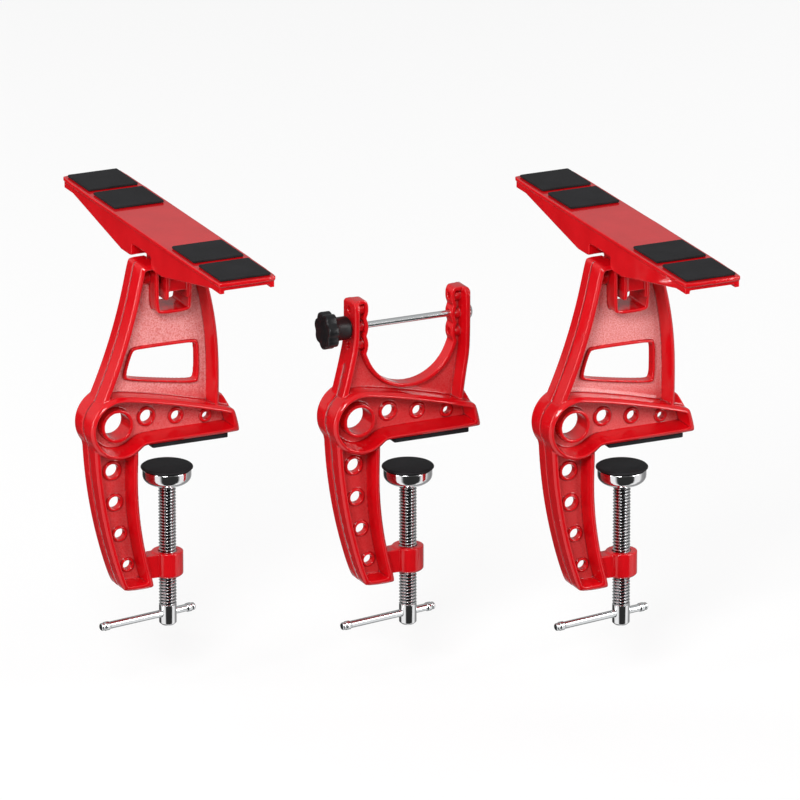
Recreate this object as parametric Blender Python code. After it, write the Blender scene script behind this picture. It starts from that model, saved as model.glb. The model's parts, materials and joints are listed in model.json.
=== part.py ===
"""A set of three cast bench clamps that hold a ski by its ends and its binding while it is waxed.

The two end clamps carry a long padded table that rocks on a pin in a forked tower. The middle
clamp carries a yoke, with a rod across it that a star knob draws tight. All three grip the bench
with the same screw. Metres, +Z up. The origin lies under the middle clamp's jaw, on its screw's axis.
"""

import math
from collections import namedtuple

import bmesh
import bpy
from mathutils import Matrix, Vector

for old in list(bpy.data.objects):
    bpy.data.objects.remove(old, do_unlink=True)

# Fits
GAP = 0.0003
RUNNING_GAP = 0.0005
OVERRUN = 0.004
MERGE = 0.000002
NO_LENGTH = 0.000001
NEARLY_STRAIGHT = math.radians(1.7)
ARC_SHARE = 0.97
CREASE = math.radians(35)
ROUND_SIDES = 20
SCREW_SIDES = 16
SMALL_SIDES = 12
BARREL_SIDES = 12
CORNER_STEP = math.radians(45)
CORNER_LEAST = math.radians(25)
BOW_PIECES = 4

# Where the three clamps stand, from the middle one
LEFT_X = -0.2081
LEFT_Y = 0.0794
RIGHT_X = 0.1726
RIGHT_Y = -0.0969

# Jaw, with the round boss at its heel
BOSS_X = -0.0537
BOSS_Z = 0.0237
BOSS_RADIUS = 0.0307
BOSS_BORE = 0.0130
BOSS_RING = 0.0030
BOSS_RING_HEIGHT = 0.0096
BOSS_PIECES = 14
JAW_THICKNESS = 0.0430
JAW_FLANGE = 0.0036
JAW_TIP_X = 0.0605
JAW_TIP_Z = 0.0275
JAW_TIP_SLANT = 0.0058
JAW_TIP_CORNER = 0.0060
JAW_TOE_CORNER = 0.0030
JAW_TOP_BOW = 0.0018
JAW_TOP_TANGENT = math.radians(79.2)
JAW_HEEL_FILLET = 0.0080
JAW_HOLE_X = -0.0215
JAW_HOLE_PITCH = 0.0297
JAW_HOLE_RADIUS = 0.0066
JAW_HOLE_STEP = 0.0015
JAW_HOLE_RING = 0.0028
JAW_HOLES = 3

# Walls that all the casting's parts share
WEB = 0.0040
HOLE_RING_HEIGHT = 0.0020
POCKET_CORNER = 0.0042
POCKET_SLOPE = 0.0038
JAW_EDGE = 0.0028
ARM_EDGE = 0.0024

# Pad glued under the jaw
JAW_PAD_LENGTH = 0.0762
JAW_PAD_X = 0.0164
JAW_PAD_WIDTH = 0.0350
JAW_PAD_HEIGHT = 0.0042
JAW_PAD_CORNER = 0.0020

# Clamp arm
ARM_THICKNESS = 0.0340
ARM_FLANGE = 0.0040
ARM_BOTTOM_Z = -0.1370
ARM_HEEL_X = -0.0508
ARM_HEEL_CORNER = 0.0080
ARM_HEEL_BOW = 0.0060
ARM_TOE_X = -0.0190
ARM_TOE_CORNER = 0.0030
ARM_THROAT_X = -0.0346
ARM_THROAT_TOP = 0.0120
ARM_THROAT_BOW = 0.0063
ARM_THROAT_FILLET = 0.0060
ARM_TOP_ANGLE = math.radians(209)
ARM_HOLE_Z = -0.0214
ARM_HOLE_PITCH = 0.0312
ARM_HOLE_RADIUS = 0.0068
ARM_HOLE_STEP = 0.0007
ARM_HOLE_RING = 0.0027
ARM_HOLE_RING_STEP = 0.0002
ARM_HOLES = 4

# Lug that the screw runs through
LUG_RADIUS = 0.0150
LUG_TOP_Z = -0.1075
LUG_BOTTOM_Z = -0.1315
LUG_WEB_THICKNESS = 0.0160
LUG_EDGE = 0.0020

# Small gusset between the jaw's top and what stands on it
GUSSET_THICKNESS = 0.0200
GUSSET_X = 0.0505
GUSSET_RISE = 0.0110
GUSSET_CORNER = 0.0080

# Tower of an end clamp
TOWER_THICKNESS = 0.0360
TOWER_TOP_Z = 0.1775
TOWER_HEEL_X = -0.0323
TOWER_HEEL_CORNER = 0.0048
TOWER_HEEL_BOW = 0.0051
TOWER_HEEL_ANGLE = math.radians(137)
TOWER_TOE_X = 0.0295
TOWER_TOE_CORNER = 0.0048
TOWER_BELLY_X = 0.0480
TOWER_BELLY_Z = 0.0660
TOWER_BELLY_BOW = 0.0051
TOWER_FOOT_X = 0.0473
TOWER_FLANGE = 0.0048
TOWER_EDGE = 0.0026
TOWER_DRAFT = 0.0015

# Fork at the tower's top
FORK_LEFT_X = -0.0142
FORK_RIGHT_X = 0.0154
FORK_BOTTOM_Z = 0.1310
FORK_CORNER = 0.0040
FORK_COLLAR = 0.0032

# Window in the tower
WINDOW_LEFT_X = -0.0350
WINDOW_RIGHT_X = 0.0290
WINDOW_TOP_Z = 0.0930
WINDOW_SPREAD = 0.0090
WINDOW_LEFT_Z = 0.0665
WINDOW_RIGHT_Z = 0.0540
WINDOW_CORNER = 0.0055
WINDOW_RIM = 0.0020
WINDOW_RIM_HEIGHT = 0.0032

# Pin that the table rocks on
PIN_Z = 0.1600
PIN_RADIUS = 0.0040
PIN_BOSS = 0.0064
PIN_LEFT_X = -0.0260
PIN_RIGHT_X = 0.0330
SPACER_WALL = 0.0025

# Rocking table
TABLE_X = 0.0027
TABLE_WIDTH = 0.0600
TABLE_LENGTH = 0.3620
TABLE_TOP_Z = 0.2065
TABLE_PLATE = 0.0035
TABLE_CORNER = 0.0080
TABLE_LIP = 0.0030
TABLE_WALL = 0.0045
SKIRT_END_Z = 0.1960
SKIRT_END_Y = 0.1580
SKIRT_LOW_Z = 0.1743
SKIRT_LOW_Y = 0.0460
SKIRT_NOTCH_Y = 0.0222
SKIRT_NOTCH_Z = 0.1867
SKIRT_BEND = 0.0090
SKIRT_NOTCH_CORNER = 0.0030
CROSS_WALL_Z = 0.1755
CROSS_WALL = 0.0040
END_WALL_Z = 0.1990
STEM_LEFT_X = -0.0093
STEM_RIGHT_X = 0.0149
STEM_EAR = 0.0032
STEM_HALF_WIDTH = 0.0220
STEM_BOTTOM_Z = 0.1415
STEM_CORNER = 0.0040
STEM_WEB_Z = 0.1500
STEM_WEB = 0.0025
STEM_WEB_RECESS = 0.0010

# Pads on the table
PAD_SIDE = 0.0500
PAD_HEIGHT = 0.0022
PAD_CORNER = 0.0015
PAD_FIRST_Y = 0.0900
PAD_PITCH = 0.0600

# Yoke of the middle clamp
YOKE_THICKNESS = 0.0280
YOKE_TOP_Z = 0.1385
YOKE_LEFT_X = -0.0595
YOKE_LEFT_BEND_Z = 0.1010
YOKE_LEFT_BOW = 0.0005
YOKE_HEEL_ANGLE = math.radians(132)
YOKE_RIGHT_X = 0.0580
YOKE_RIGHT_BEND_Z = 0.0800
YOKE_RIGHT_BOW = 0.0008
YOKE_FOOT_X = 0.0490
YOKE_OUTER_CORNER = 0.0035
YOKE_INNER_CORNER = 0.0040
YOKE_FLANGE = 0.0038
YOKE_EDGE = 0.0018
YOKE_SHOULDER = 0.0100
YOKE_SHOULDER_PIECES = 4
CRADLE_X = -0.0010
CRADLE_Z = 0.0968
CRADLE_RADIUS = 0.0452
CRADLE_FLANGE = 0.0035
CRADLE_THICKNESS = 0.0150
CRADLE_PIECES = 10
ROD_HOLE_Z = 0.0950
ROD_HOLE_PITCH = 0.0170
ROD_HOLES = 3
SCALLOP = 0.0020
SCALLOP_FLAT = 0.0076
BARREL_RADIUS = 0.0056

# Rod across the yoke, its domed nut and its star knob
ROD_RADIUS = 0.0030
ROD_SLOT = 1
ROD_LEFT_X = -0.0830
NUT_RADIUS = 0.0080
NUT_HEIGHT = 0.0060
NUT_RIM = 0.0015
NUT_PIECES = 3
NUT_FLOOR = 0.0015
WASHER_RADIUS = 0.0085
WASHER_HEIGHT = 0.0012
HUB_RADIUS = 0.0110
HUB_LENGTH = 0.0147
KNOB_RADIUS = 0.0177
KNOB_LOBES = 7
KNOB_LOBE_DEPTH = 0.0022
KNOB_HEIGHT = 0.0110
KNOB_EDGE = 0.0012
KNOB_POINTS_PER_LOBE = 4
KNOB_LOBE_SQUARENESS = 1.5

# Clamp screw, the same on all three clamps
SPINDLE_RADIUS = 0.0082
SPINDLE_BOTTOM_Z = -0.1800
SPINDLE_EDGE = 0.0025
BALL_RADIUS = 0.0060
BALL_PIECES = 4
NECK_RADIUS = 0.0044
DISC_TOP_Z = -0.0245
DISC_RADIUS = 0.0243
DISC_HEIGHT = 0.0028
DISC_SIDES = 24
CUP_RADIUS = 0.0228
CUP_RIM = 0.0084
CUP_HEIGHT = 0.0164
CUP_MOUTH_RADIUS = 0.0095
CUP_CROWN = 0.0019
CUP_STEP = 0.0012
CUP_PIECES = 3
MIDDLE_SCREW_DROP = 0.0048
BAR_RADIUS = 0.0035
BAR_LEFT = 0.0742
BAR_RIGHT = 0.0291
BAR_Z = -0.1683
BAR_END_RADIUS = 0.00425
BAR_END_LENGTH = 0.0090
BAR_ANGLE = math.radians(9.97)

Corner = namedtuple("Corner", "x z radius wall", defaults=(0.0, 0.0))


class Bow:
    """A round edge between two points; a positive height bows it to the left of its travel."""

    def __init__(self, start, end, height):
        run = Vector(end) - Vector(start)
        normal = Vector((-run.y, run.x)).normalized()
        side = math.copysign(1.0, height)
        self.radius = (run.length ** 2 / 4 + height ** 2) / (2 * abs(height))
        middle = (Vector(start) + Vector(end)) / 2
        self.centre = middle - normal * side * (self.radius - abs(height))
        self.crest = middle + normal * height
        spoke = Vector(start) - self.centre
        self.angle = math.atan2(spoke.y, spoke.x)
        self.sweep = -side * 2 * math.asin(run.length / 2 / self.radius)

    def points(self, pieces):
        angles = [self.angle + self.sweep * i / pieces for i in range(pieces + 1)]
        return [self.centre + Vector((math.cos(a), math.sin(a))) * self.radius for a in angles]

    def x_at(self, z):
        reach = math.sqrt(self.radius ** 2 - (z - self.centre.y) ** 2)
        return self.centre.x + math.copysign(reach, self.crest.x - self.centre.x)

    def z_at(self, x):
        reach = math.sqrt(self.radius ** 2 - (x - self.centre.x) ** 2)
        return self.centre.y + math.copysign(reach, self.crest.y - self.centre.y)


def on_circle(x, z, radius, angle):
    return (x + radius * math.cos(angle), z + radius * math.sin(angle))


def arc(x, z, radius, start, end, pieces):
    return [on_circle(x, z, radius, start + (end - start) * i / pieces) for i in range(pieces + 1)]


def corners(points, wall):
    return [Corner(p[0], p[1], 0.0, wall) for p in points]


def turn_at(path, i):
    before = Vector((path[i].x - path[i - 1].x, path[i].z - path[i - 1].z))
    following = path[(i + 1) % len(path)]
    after = Vector((following.x - path[i].x, following.z - path[i].z))
    return before, after, math.atan2(before.cross(after), before.dot(after))


def crossing(edge, following):
    """Where two moved edges meet; each is a point on it, its direction and its inward shift."""
    start, run, depth = edge
    other, turned_run, other_depth = following
    cross = run.cross(turned_run)
    if abs(cross) > math.sin(NEARLY_STRAIGHT):
        return start + run * ((other - start).cross(turned_run) / cross)
    normal = Vector((-run.y - turned_run.y, run.x + turned_run.x)).normalized()
    return other + normal * (depth - other_depth) / 2


def inset(path, depth, walls=False):
    """Moves each edge inwards, with walls by its own wall as well. Edges that vanish are dropped."""
    edges = []
    for i, corner in enumerate(path):
        _, after, _ = turn_at(path, i)
        run = after.normalized()
        shift = depth + (corner.wall if walls else 0.0)
        start = Vector((corner.x, corner.z)) + Vector((-run.y, run.x)) * shift
        edges.append((start, run, shift, corner, i))
    while True:
        places = [crossing(edges[k - 1][:3], edges[k][:3]) for k in range(len(edges))]
        spans = [(places[(k + 1) % len(edges)] - places[k]).dot(edges[k][1]) for k in range(len(edges))]
        if min(spans) > 0.0:
            break
        edges.pop(spans.index(min(spans)))
    moved = []
    for k, (_, _, shift, corner, i) in enumerate(edges):
        whole = (edges[k - 1][4] + 1) % len(path) == i
        _, _, turn = turn_at(path, i)
        radius = corner.radius if whole else 0.0
        if radius:
            radius = max(radius - math.copysign((edges[k - 1][2] + shift) / 2, turn), 0.0)
        moved.append(Corner(places[k].x, places[k].y, radius, corner.wall))
    return moved


def hollow_path(path):
    """The outline of a pocket inside a path's walls, each of its corners well rounded."""
    grown = inset(inset(path, POCKET_CORNER, True), -POCKET_CORNER)
    hollow = []
    for i, corner in enumerate(grown):
        _, _, turn = turn_at(grown, i)
        radius = POCKET_CORNER if turn > CORNER_LEAST else corner.radius
        hollow.append(corner._replace(radius=radius))
    return hollow


def rounded(path):
    """The path's points, with each corner that has a radius turned into an arc."""
    turns = [turn_at(path, i) for i in range(len(path))]
    reaches = [c.radius * math.tan(abs(t[2]) / 2) for c, t in zip(path, turns)]
    points = []
    for i, corner in enumerate(path):
        before, after, turn = turns[i]
        here = Vector((corner.x, corner.z))
        if reaches[i] < NO_LENGTH:
            points.append(here)
            continue
        room_before = before.length / (reaches[i] + reaches[i - 1])
        room_after = after.length / (reaches[i] + reaches[(i + 1) % len(path)])
        share = min(1.0, ARC_SHARE * room_before, ARC_SHARE * room_after)
        side = math.copysign(1.0, turn)
        start = here - before.normalized() * reaches[i] * share
        normal = Vector((-before.y, before.x)).normalized() * side
        centre = start + normal * corner.radius * share
        pieces = max(2, round(abs(turn) / CORNER_STEP))
        for k in range(pieces + 1):
            spoke = Matrix.Rotation(turn * k / pieces, 2) @ (start - centre)
            points.append(centre + spoke)
    return points


def new_object(name, verts, faces):
    mesh = bpy.data.meshes.new(name)
    mesh.from_pydata(verts, [], faces)
    mesh.validate()
    shape = bmesh.new()
    shape.from_mesh(mesh)
    bmesh.ops.remove_doubles(shape, verts=shape.verts, dist=MERGE)
    shape.to_mesh(mesh)
    shape.free()
    body = bpy.data.objects.new(name, mesh)
    bpy.context.scene.collection.objects.link(body)
    return body


def loft(name, rings):
    """A closed body through rings of equally many points, with flat ends."""
    count = len(rings[0])
    verts = [v for ring in rings for v in ring]
    faces = [tuple(reversed(range(count)))]
    for k in range(len(rings) - 1):
        low = k * count
        for i in range(count):
            j = (i + 1) % count
            faces.append((low + i, low + j, low + count + j, low + count + i))
    faces.append(tuple(range((len(rings) - 1) * count, len(rings) * count)))
    return new_object(name, verts, faces)


def stacked(name, layers):
    """A body made of path outlines at their depths, from the back (+Y) to the front."""
    rings = []
    for y, path in layers:
        rings.append([(p.x, y, p.y) for p in rounded(path)])
    return loft(name, rings)


def casting(name, path, thickness, edge, draft=0.0):
    """An outline as a cast plate: its edges are eased, its middle stands proud by the draft."""
    half = thickness / 2
    face = [c._replace(radius=p.radius) for c, p in zip(inset(path, draft + edge), path)]
    shoulder = [c._replace(radius=p.radius) for c, p in zip(inset(path, draft), path)]
    middle = [(0.0, path)] if draft else []
    layers = [(half, face), (half - edge, shoulder), *middle, (edge - half, shoulder), (-half, face)]
    return stacked(name, layers)


def pockets(name, path, thickness):
    """The two hollows that leave a web between them and a wall round the outline."""
    outer = thickness / 2 + OVERRUN
    mouth = hollow_path(path)
    floor = inset(mouth, POCKET_SLOPE)
    front = stacked(name, [(-WEB / 2, floor), (-outer, mouth)])
    back = stacked(name + "_back", [(outer, mouth), (WEB / 2, floor)])
    return weld(front, back)


def wall_across(name, path, left, right, base=0.0):
    """A wall whose outline lies in the YZ plane, between two X positions."""
    points = rounded(path)
    rings = [[(x, p.x, p.y - base) for p in points] for x in (left, right)]
    return loft(name, rings)


def block(name, path, thickness, centre=0.0):
    half = thickness / 2
    return stacked(name, [(centre + half, path), (centre - half, path)])


def weld(*pieces):
    """Several bodies that don't touch, as one helper object."""
    verts = []
    faces = []
    for piece in pieces:
        first = len(verts)
        verts.extend(tuple(piece.matrix_basis @ v.co) for v in piece.data.vertices)
        faces.extend(tuple(first + i for i in f.vertices) for f in piece.data.polygons)
    name = pieces[0].name
    for piece in pieces:
        bpy.data.objects.remove(piece, do_unlink=True)
    return new_object(name, verts, faces)


def turned(name, profile, sides=ROUND_SIDES):
    """A body of revolution about Z. Its profile of (radius, height) climbs the outer side."""
    closed = profile[0][0] > 0.0
    verts = []
    rows = []
    for radius, height in profile:
        if radius == 0.0:
            rows.append([len(verts)] * sides)
            verts.append((0.0, 0.0, height))
            continue
        rows.append(list(range(len(verts), len(verts) + sides)))
        for k in range(sides):
            verts.append((*on_circle(0.0, 0.0, radius, 2 * math.pi * k / sides), height))
    faces = []
    last = len(rows) if closed else len(rows) - 1
    for r in range(last):
        low = rows[r]
        high = rows[(r + 1) % len(rows)]
        for k in range(sides):
            j = (k + 1) % sides
            quad = [low[k], low[j], high[j], high[k]]
            face = tuple(v for i, v in enumerate(quad) if v not in quad[:i])
            faces.append(face)
    body = new_object(name, verts, faces)
    body.data.shade_smooth()
    body.data.set_sharp_from_angle(angle=CREASE)
    return body


def pole(name, radius, low, high, sides=ROUND_SIDES):
    return turned(name, [(0.0, low), (radius, low), (radius, high), (0.0, high)], sides)


def lay(body, matrix):
    body.data.transform(matrix)
    return body


ALONG_X = Matrix.Rotation(math.radians(90), 4, "Y")
ALONG_Y = Matrix.Rotation(math.radians(-90), 4, "X")


def round_bar(name, x, z, radius, thickness, sides):
    """A cylinder through the casting's thickness."""
    body = lay(pole(name, radius, -thickness / 2, thickness / 2, sides), ALONG_Y)
    return lay(body, Matrix.Translation((x, 0.0, z)))


def combine(body, operand, operation):
    operand.hide_render = True
    operand.display_type = "WIRE"
    modifier = body.modifiers.new(operation.lower(), "BOOLEAN")
    modifier.operation = operation
    modifier.solver = "EXACT"
    modifier.object = operand
    operand.parent = body


def cut(body, *cutters):
    for cutter in cutters:
        combine(body, cutter, "DIFFERENCE")


def add(body, *parts):
    for part in parts:
        combine(body, part, "UNION")


def material(name, colour, roughness, metallic=0.0):
    made = bpy.data.materials.new(name)
    made.use_nodes = True
    shader = made.node_tree.nodes["Principled BSDF"]
    shader.inputs["Base Color"].default_value = (*colour, 1.0)
    shader.inputs["Roughness"].default_value = roughness
    shader.inputs["Metallic"].default_value = metallic
    made.diffuse_color = (*colour, 1.0)
    return made


RED = material("red_enamel", (0.62, 0.008, 0.014), 0.25)
BLACK_RUBBER = material("black_rubber", (0.018, 0.018, 0.020), 0.75)
BLACK_PLASTIC = material("black_plastic", (0.012, 0.012, 0.014), 0.45)
CHROME = material("bright_steel", (0.78, 0.78, 0.80), 0.14, 1.0)
STEEL = material("plain_steel", (0.55, 0.55, 0.57), 0.32, 1.0)


def finish(body, skin, parent, offset=(0.0, 0.0, 0.0)):
    """Gives a piece its material and hangs it on the empty that carries it."""
    body.data.materials.clear()
    body.data.materials.append(skin)
    body.parent = parent
    body.location = offset
    return body


def empty(name, place):
    holder = bpy.data.objects.new(name, None)
    holder.location = place
    bpy.context.scene.collection.objects.link(holder)
    return holder


def jaw_top():
    tangent = on_circle(BOSS_X, BOSS_Z, BOSS_RADIUS, JAW_TOP_TANGENT)
    return Bow((JAW_TIP_X, JAW_TIP_Z), tangent, -JAW_TOP_BOW)


def jaw_underside():
    return JAW_PAD_HEIGHT + GAP


def jaw_path():
    low = jaw_underside()
    heel_angle = 2 * math.pi - math.asin((BOSS_Z - low) / BOSS_RADIUS)
    boss = arc(BOSS_X, BOSS_Z, BOSS_RADIUS, JAW_TOP_TANGENT, heel_angle, BOSS_PIECES)
    heel = Corner(*boss[-1], JAW_HEEL_FILLET, JAW_FLANGE)
    toe = Corner(JAW_TIP_X + JAW_TIP_SLANT, low, JAW_TOE_CORNER, JAW_FLANGE)
    tip = Corner(JAW_TIP_X, JAW_TIP_Z, JAW_TIP_CORNER, JAW_FLANGE)
    top = jaw_top().points(BOW_PIECES)[1:-1]
    return corners(boss[:-1], JAW_FLANGE) + [heel, toe, tip] + corners(top, JAW_FLANGE)


def jaw_hole(i):
    """Middle, radius and ring width of a lightening hole, smaller towards the tip."""
    x = JAW_HOLE_X + JAW_HOLE_PITCH * i
    z = (jaw_top().z_at(x) + jaw_underside()) / 2
    return x, z, JAW_HOLE_RADIUS - JAW_HOLE_STEP * i, JAW_HOLE_RING


def arm_throat():
    top_z = jaw_underside() - ARM_THROAT_TOP
    return Bow((ARM_TOE_X, ARM_BOTTOM_Z), (ARM_THROAT_X, top_z), ARM_THROAT_BOW)


def arm_heel():
    start = on_circle(BOSS_X, BOSS_Z, BOSS_RADIUS - JAW_FLANGE / 2, ARM_TOP_ANGLE)
    return Bow(start, (ARM_HEEL_X, ARM_BOTTOM_Z), -ARM_HEEL_BOW)


def arm_path():
    """The arm's outline; its top end lies inside the jaw."""
    heel = arm_heel().points(BOW_PIECES + 1)
    throat = arm_throat().points(BOW_PIECES + 1)
    path = [Corner(BOSS_X, BOSS_Z)]
    path.extend(corners(heel[:-1], ARM_FLANGE))
    path.append(Corner(heel[-1].x, heel[-1].y, ARM_HEEL_CORNER, ARM_FLANGE))
    path.append(Corner(throat[0].x, throat[0].y, ARM_TOE_CORNER, ARM_FLANGE))
    path.extend(corners(throat[1:], ARM_FLANGE))
    path.append(Corner(ARM_THROAT_X, BOSS_Z))
    return path


def arm_fillet(name):
    """Fills the angle between the arm's throat and the jaw's underside."""
    low = jaw_underside()
    seat = JAW_FLANGE / 4
    right = ARM_THROAT_X + ARM_THROAT_FILLET
    curve = arc(right, low - ARM_THROAT_FILLET, ARM_THROAT_FILLET, math.pi, math.pi / 2, BOW_PIECES)
    path = [Corner(right, low + seat), Corner(ARM_THROAT_X - ARM_FLANGE / 2, low + seat)]
    path.append(Corner(ARM_THROAT_X - ARM_FLANGE / 2, low - ARM_THROAT_FILLET))
    return block(name, path + corners(curve, 0.0), ARM_THICKNESS - 2 * ARM_EDGE)


def arm_hole(i):
    """Middle, radius and ring width of a lightening hole, smaller towards the bottom."""
    z = ARM_HOLE_Z - ARM_HOLE_PITCH * i
    x = (arm_heel().x_at(z) + arm_throat().x_at(z)) / 2
    return x, z, ARM_HOLE_RADIUS - ARM_HOLE_STEP * i, ARM_HOLE_RING - ARM_HOLE_RING_STEP * i


def holed(cutter, holes, height):
    """Leaves a raised ring in a pocket round each hole."""
    for i, (x, z, radius, ring) in enumerate(holes):
        name = f"{cutter.name}_ring_{i}"
        cut(cutter, round_bar(name, x, z, radius + ring, WEB + 2 * height, SMALL_SIDES))


def jaw_pockets(name):
    """The jaw's hollows, with a raised ring round each hole and a tall one round the boss's bore."""
    hollow = pockets(name, jaw_path(), JAW_THICKNESS)
    holed(hollow, [jaw_hole(i) for i in range(JAW_HOLES)], HOLE_RING_HEIGHT)
    ring = WEB + 2 * BOSS_RING_HEIGHT
    cut(hollow, round_bar(name + "_boss", BOSS_X, BOSS_Z, BOSS_BORE + BOSS_RING, ring, ROUND_SIDES))
    return hollow


def clamp_arm(name):
    body = casting(name, arm_path(), ARM_THICKNESS, ARM_EDGE)
    hollow = pockets(name + "_pocket", arm_path(), ARM_THICKNESS)
    holed(hollow, [arm_hole(i) for i in range(ARM_HOLES)], HOLE_RING_HEIGHT)
    cut(body, hollow)
    add(body, arm_fillet(name + "_fillet"))
    return body


def lug(name):
    profile = [
        (0.0, LUG_BOTTOM_Z),
        (LUG_RADIUS - LUG_EDGE, LUG_BOTTOM_Z),
        (LUG_RADIUS, LUG_BOTTOM_Z + LUG_EDGE),
        (LUG_RADIUS, LUG_TOP_Z),
        (0.0, LUG_TOP_Z),
    ]
    return turned(name, profile)


def lug_web(name):
    """Joins the lug to the arm's throat, ending inside the arm's flange."""
    throat = arm_throat()
    high = LUG_TOP_Z - LUG_EDGE / 2
    low = LUG_BOTTOM_Z + LUG_EDGE / 2
    path = [
        Corner(throat.x_at(low) - ARM_FLANGE / 2, low),
        Corner(0.0, low),
        Corner(0.0, high),
        Corner(throat.x_at(high) - ARM_FLANGE / 2, high),
    ]
    return block(name, path, LUG_WEB_THICKNESS)


def gusset(name, foot_x, wall):
    """A rounded fillet piece in the angle between the jaw's top and the wall above it."""
    top = jaw_top()
    inner = foot_x - wall / 2
    outer = JAW_TIP_X - JAW_TIP_CORNER / 4
    path = [
        Corner(inner, top.z_at(inner) - JAW_FLANGE / 2),
        Corner(outer, top.z_at(outer) - JAW_FLANGE / 2),
        Corner(outer, top.z_at(outer)),
        Corner(GUSSET_X, top.z_at(inner) + GUSSET_RISE, GUSSET_CORNER),
        Corner(inner, top.z_at(inner) + GUSSET_RISE),
    ]
    return block(name, path, GUSSET_THICKNESS)


def standing_path(foot_x):
    """The lower end of what stands on the jaw, from the boss to the foot, inside the jaw."""
    foot_z = (jaw_top().z_at(foot_x) + jaw_underside()) / 2
    return [Corner(BOSS_X, BOSS_Z), Corner(foot_x, foot_z)]


def tower_sides():
    """The tower's edge from its foot up the belly, and its heel from the top down."""
    belly_end = (TOWER_TOE_X, TOWER_TOP_Z)
    belly = Bow((TOWER_BELLY_X, TOWER_BELLY_Z), belly_end, -TOWER_BELLY_BOW).points(BOW_PIECES)
    heel_end = on_circle(BOSS_X, BOSS_Z, BOSS_RADIUS - JAW_FLANGE / 2, TOWER_HEEL_ANGLE)
    heel = Bow((TOWER_HEEL_X, TOWER_TOP_Z), heel_end, TOWER_HEEL_BOW).points(BOW_PIECES)
    return belly, heel


def tower_path():
    belly, heel = tower_sides()
    foot = standing_path(TOWER_FOOT_X)
    path = [foot[0], foot[1]._replace(wall=TOWER_FLANGE)]
    path.extend(corners(belly[:-1], TOWER_FLANGE))
    path.append(Corner(TOWER_TOE_X, TOWER_TOP_Z, TOWER_TOE_CORNER, TOWER_FLANGE))
    path.append(Corner(TOWER_HEEL_X, TOWER_TOP_Z, TOWER_HEEL_CORNER, TOWER_FLANGE))
    path.extend(corners(heel[1:-1], TOWER_FLANGE))
    path.append(Corner(heel[-1].x, heel[-1].y))
    return path


def fork(name, wall):
    """The fork's slot, or with a wall the collar round it that the pockets leave standing."""
    left = FORK_LEFT_X - wall
    right = FORK_RIGHT_X + wall
    low = FORK_BOTTOM_Z - wall
    high = TOWER_TOP_Z + OVERRUN
    corner = FORK_CORNER + wall
    path = [Corner(left, low, corner), Corner(right, low, corner), Corner(right, high), Corner(left, high)]
    return block(name, path, TOWER_THICKNESS + 4 * OVERRUN)


def window_path(rim):
    """A four-cornered window whose foot runs along the jaw's top."""
    slope = (WINDOW_LEFT_Z - WINDOW_RIGHT_Z) / (WINDOW_RIGHT_X - WINDOW_LEFT_X + WINDOW_SPREAD)
    left_low = WINDOW_LEFT_X - WINDOW_SPREAD
    right_low_z = WINDOW_LEFT_Z - slope * (WINDOW_RIGHT_X - left_low)
    path = [
        Corner(left_low, WINDOW_LEFT_Z, WINDOW_CORNER),
        Corner(WINDOW_RIGHT_X, right_low_z, WINDOW_CORNER),
        Corner(WINDOW_RIGHT_X, WINDOW_TOP_Z, WINDOW_CORNER),
        Corner(WINDOW_LEFT_X, WINDOW_TOP_Z, WINDOW_CORNER),
    ]
    return [corner._replace(radius=WINDOW_CORNER) for corner in inset(path, -rim)]


def pin_boss(name, inner, outer):
    """Carries the pin across a horn of the fork, from its collar to its outer flange."""
    body = lay(pole(name, PIN_BOSS, inner, outer, SMALL_SIDES), ALONG_X)
    return lay(body, Matrix.Translation((0.0, 0.0, PIN_Z)))


def tower(name):
    body = casting(name, tower_path(), TOWER_THICKNESS, TOWER_EDGE, TOWER_DRAFT)
    hollow = pockets(name + "_pocket", tower_path(), TOWER_THICKNESS)
    rim = block(name + "_rim", window_path(WINDOW_RIM), WEB + 2 * WINDOW_RIM_HEIGHT)
    left = pin_boss(name + "_left_boss", TOWER_HEEL_X + TOWER_FLANGE / 2, FORK_LEFT_X - FORK_COLLAR / 2)
    right = pin_boss(name + "_right_boss", FORK_RIGHT_X + FORK_COLLAR / 2, TOWER_TOE_X + TOWER_FLANGE / 2)
    cut(hollow, fork(name + "_collar", FORK_COLLAR), rim, left, right)
    window = block(name + "_window", window_path(0.0), TOWER_THICKNESS)
    cut(body, hollow, window, fork(name + "_fork", 0.0))
    return body


def rod_z(i):
    return ROD_HOLE_Z + ROD_HOLE_PITCH * i


def cradle_path(rim, top_z):
    """The rounded cradle and the scalloped inner sides of the yoke's two arms."""
    waist = CRADLE_RADIUS + rim
    lowest = ROD_HOLE_Z - ROD_HOLE_PITCH / 2
    drop = math.asin((CRADLE_Z - lowest) / waist)
    bottom = arc(CRADLE_X, CRADLE_Z, waist, math.pi + drop, 2 * math.pi - drop, CRADLE_PIECES)
    half = waist * math.cos(drop)
    sides = []
    for i in range(ROD_HOLES):
        sides.append((half - SCALLOP, rod_z(i) - SCALLOP_FLAT / 2))
        sides.append((half - SCALLOP, rod_z(i) + SCALLOP_FLAT / 2))
        if i < ROD_HOLES - 1:
            sides.append((half, rod_z(i) + ROD_HOLE_PITCH / 2))
    left = [(CRADLE_X - x, z) for x, z in reversed(sides)]
    right = [(CRADLE_X + x, z) for x, z in sides]
    top_left = Corner(CRADLE_X - half, top_z, YOKE_INNER_CORNER, YOKE_FLANGE)
    top_right = Corner(CRADLE_X + half, top_z, YOKE_INNER_CORNER, YOKE_FLANGE)
    return [top_left] + corners(left + bottom + right, YOKE_FLANGE) + [top_right]


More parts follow.
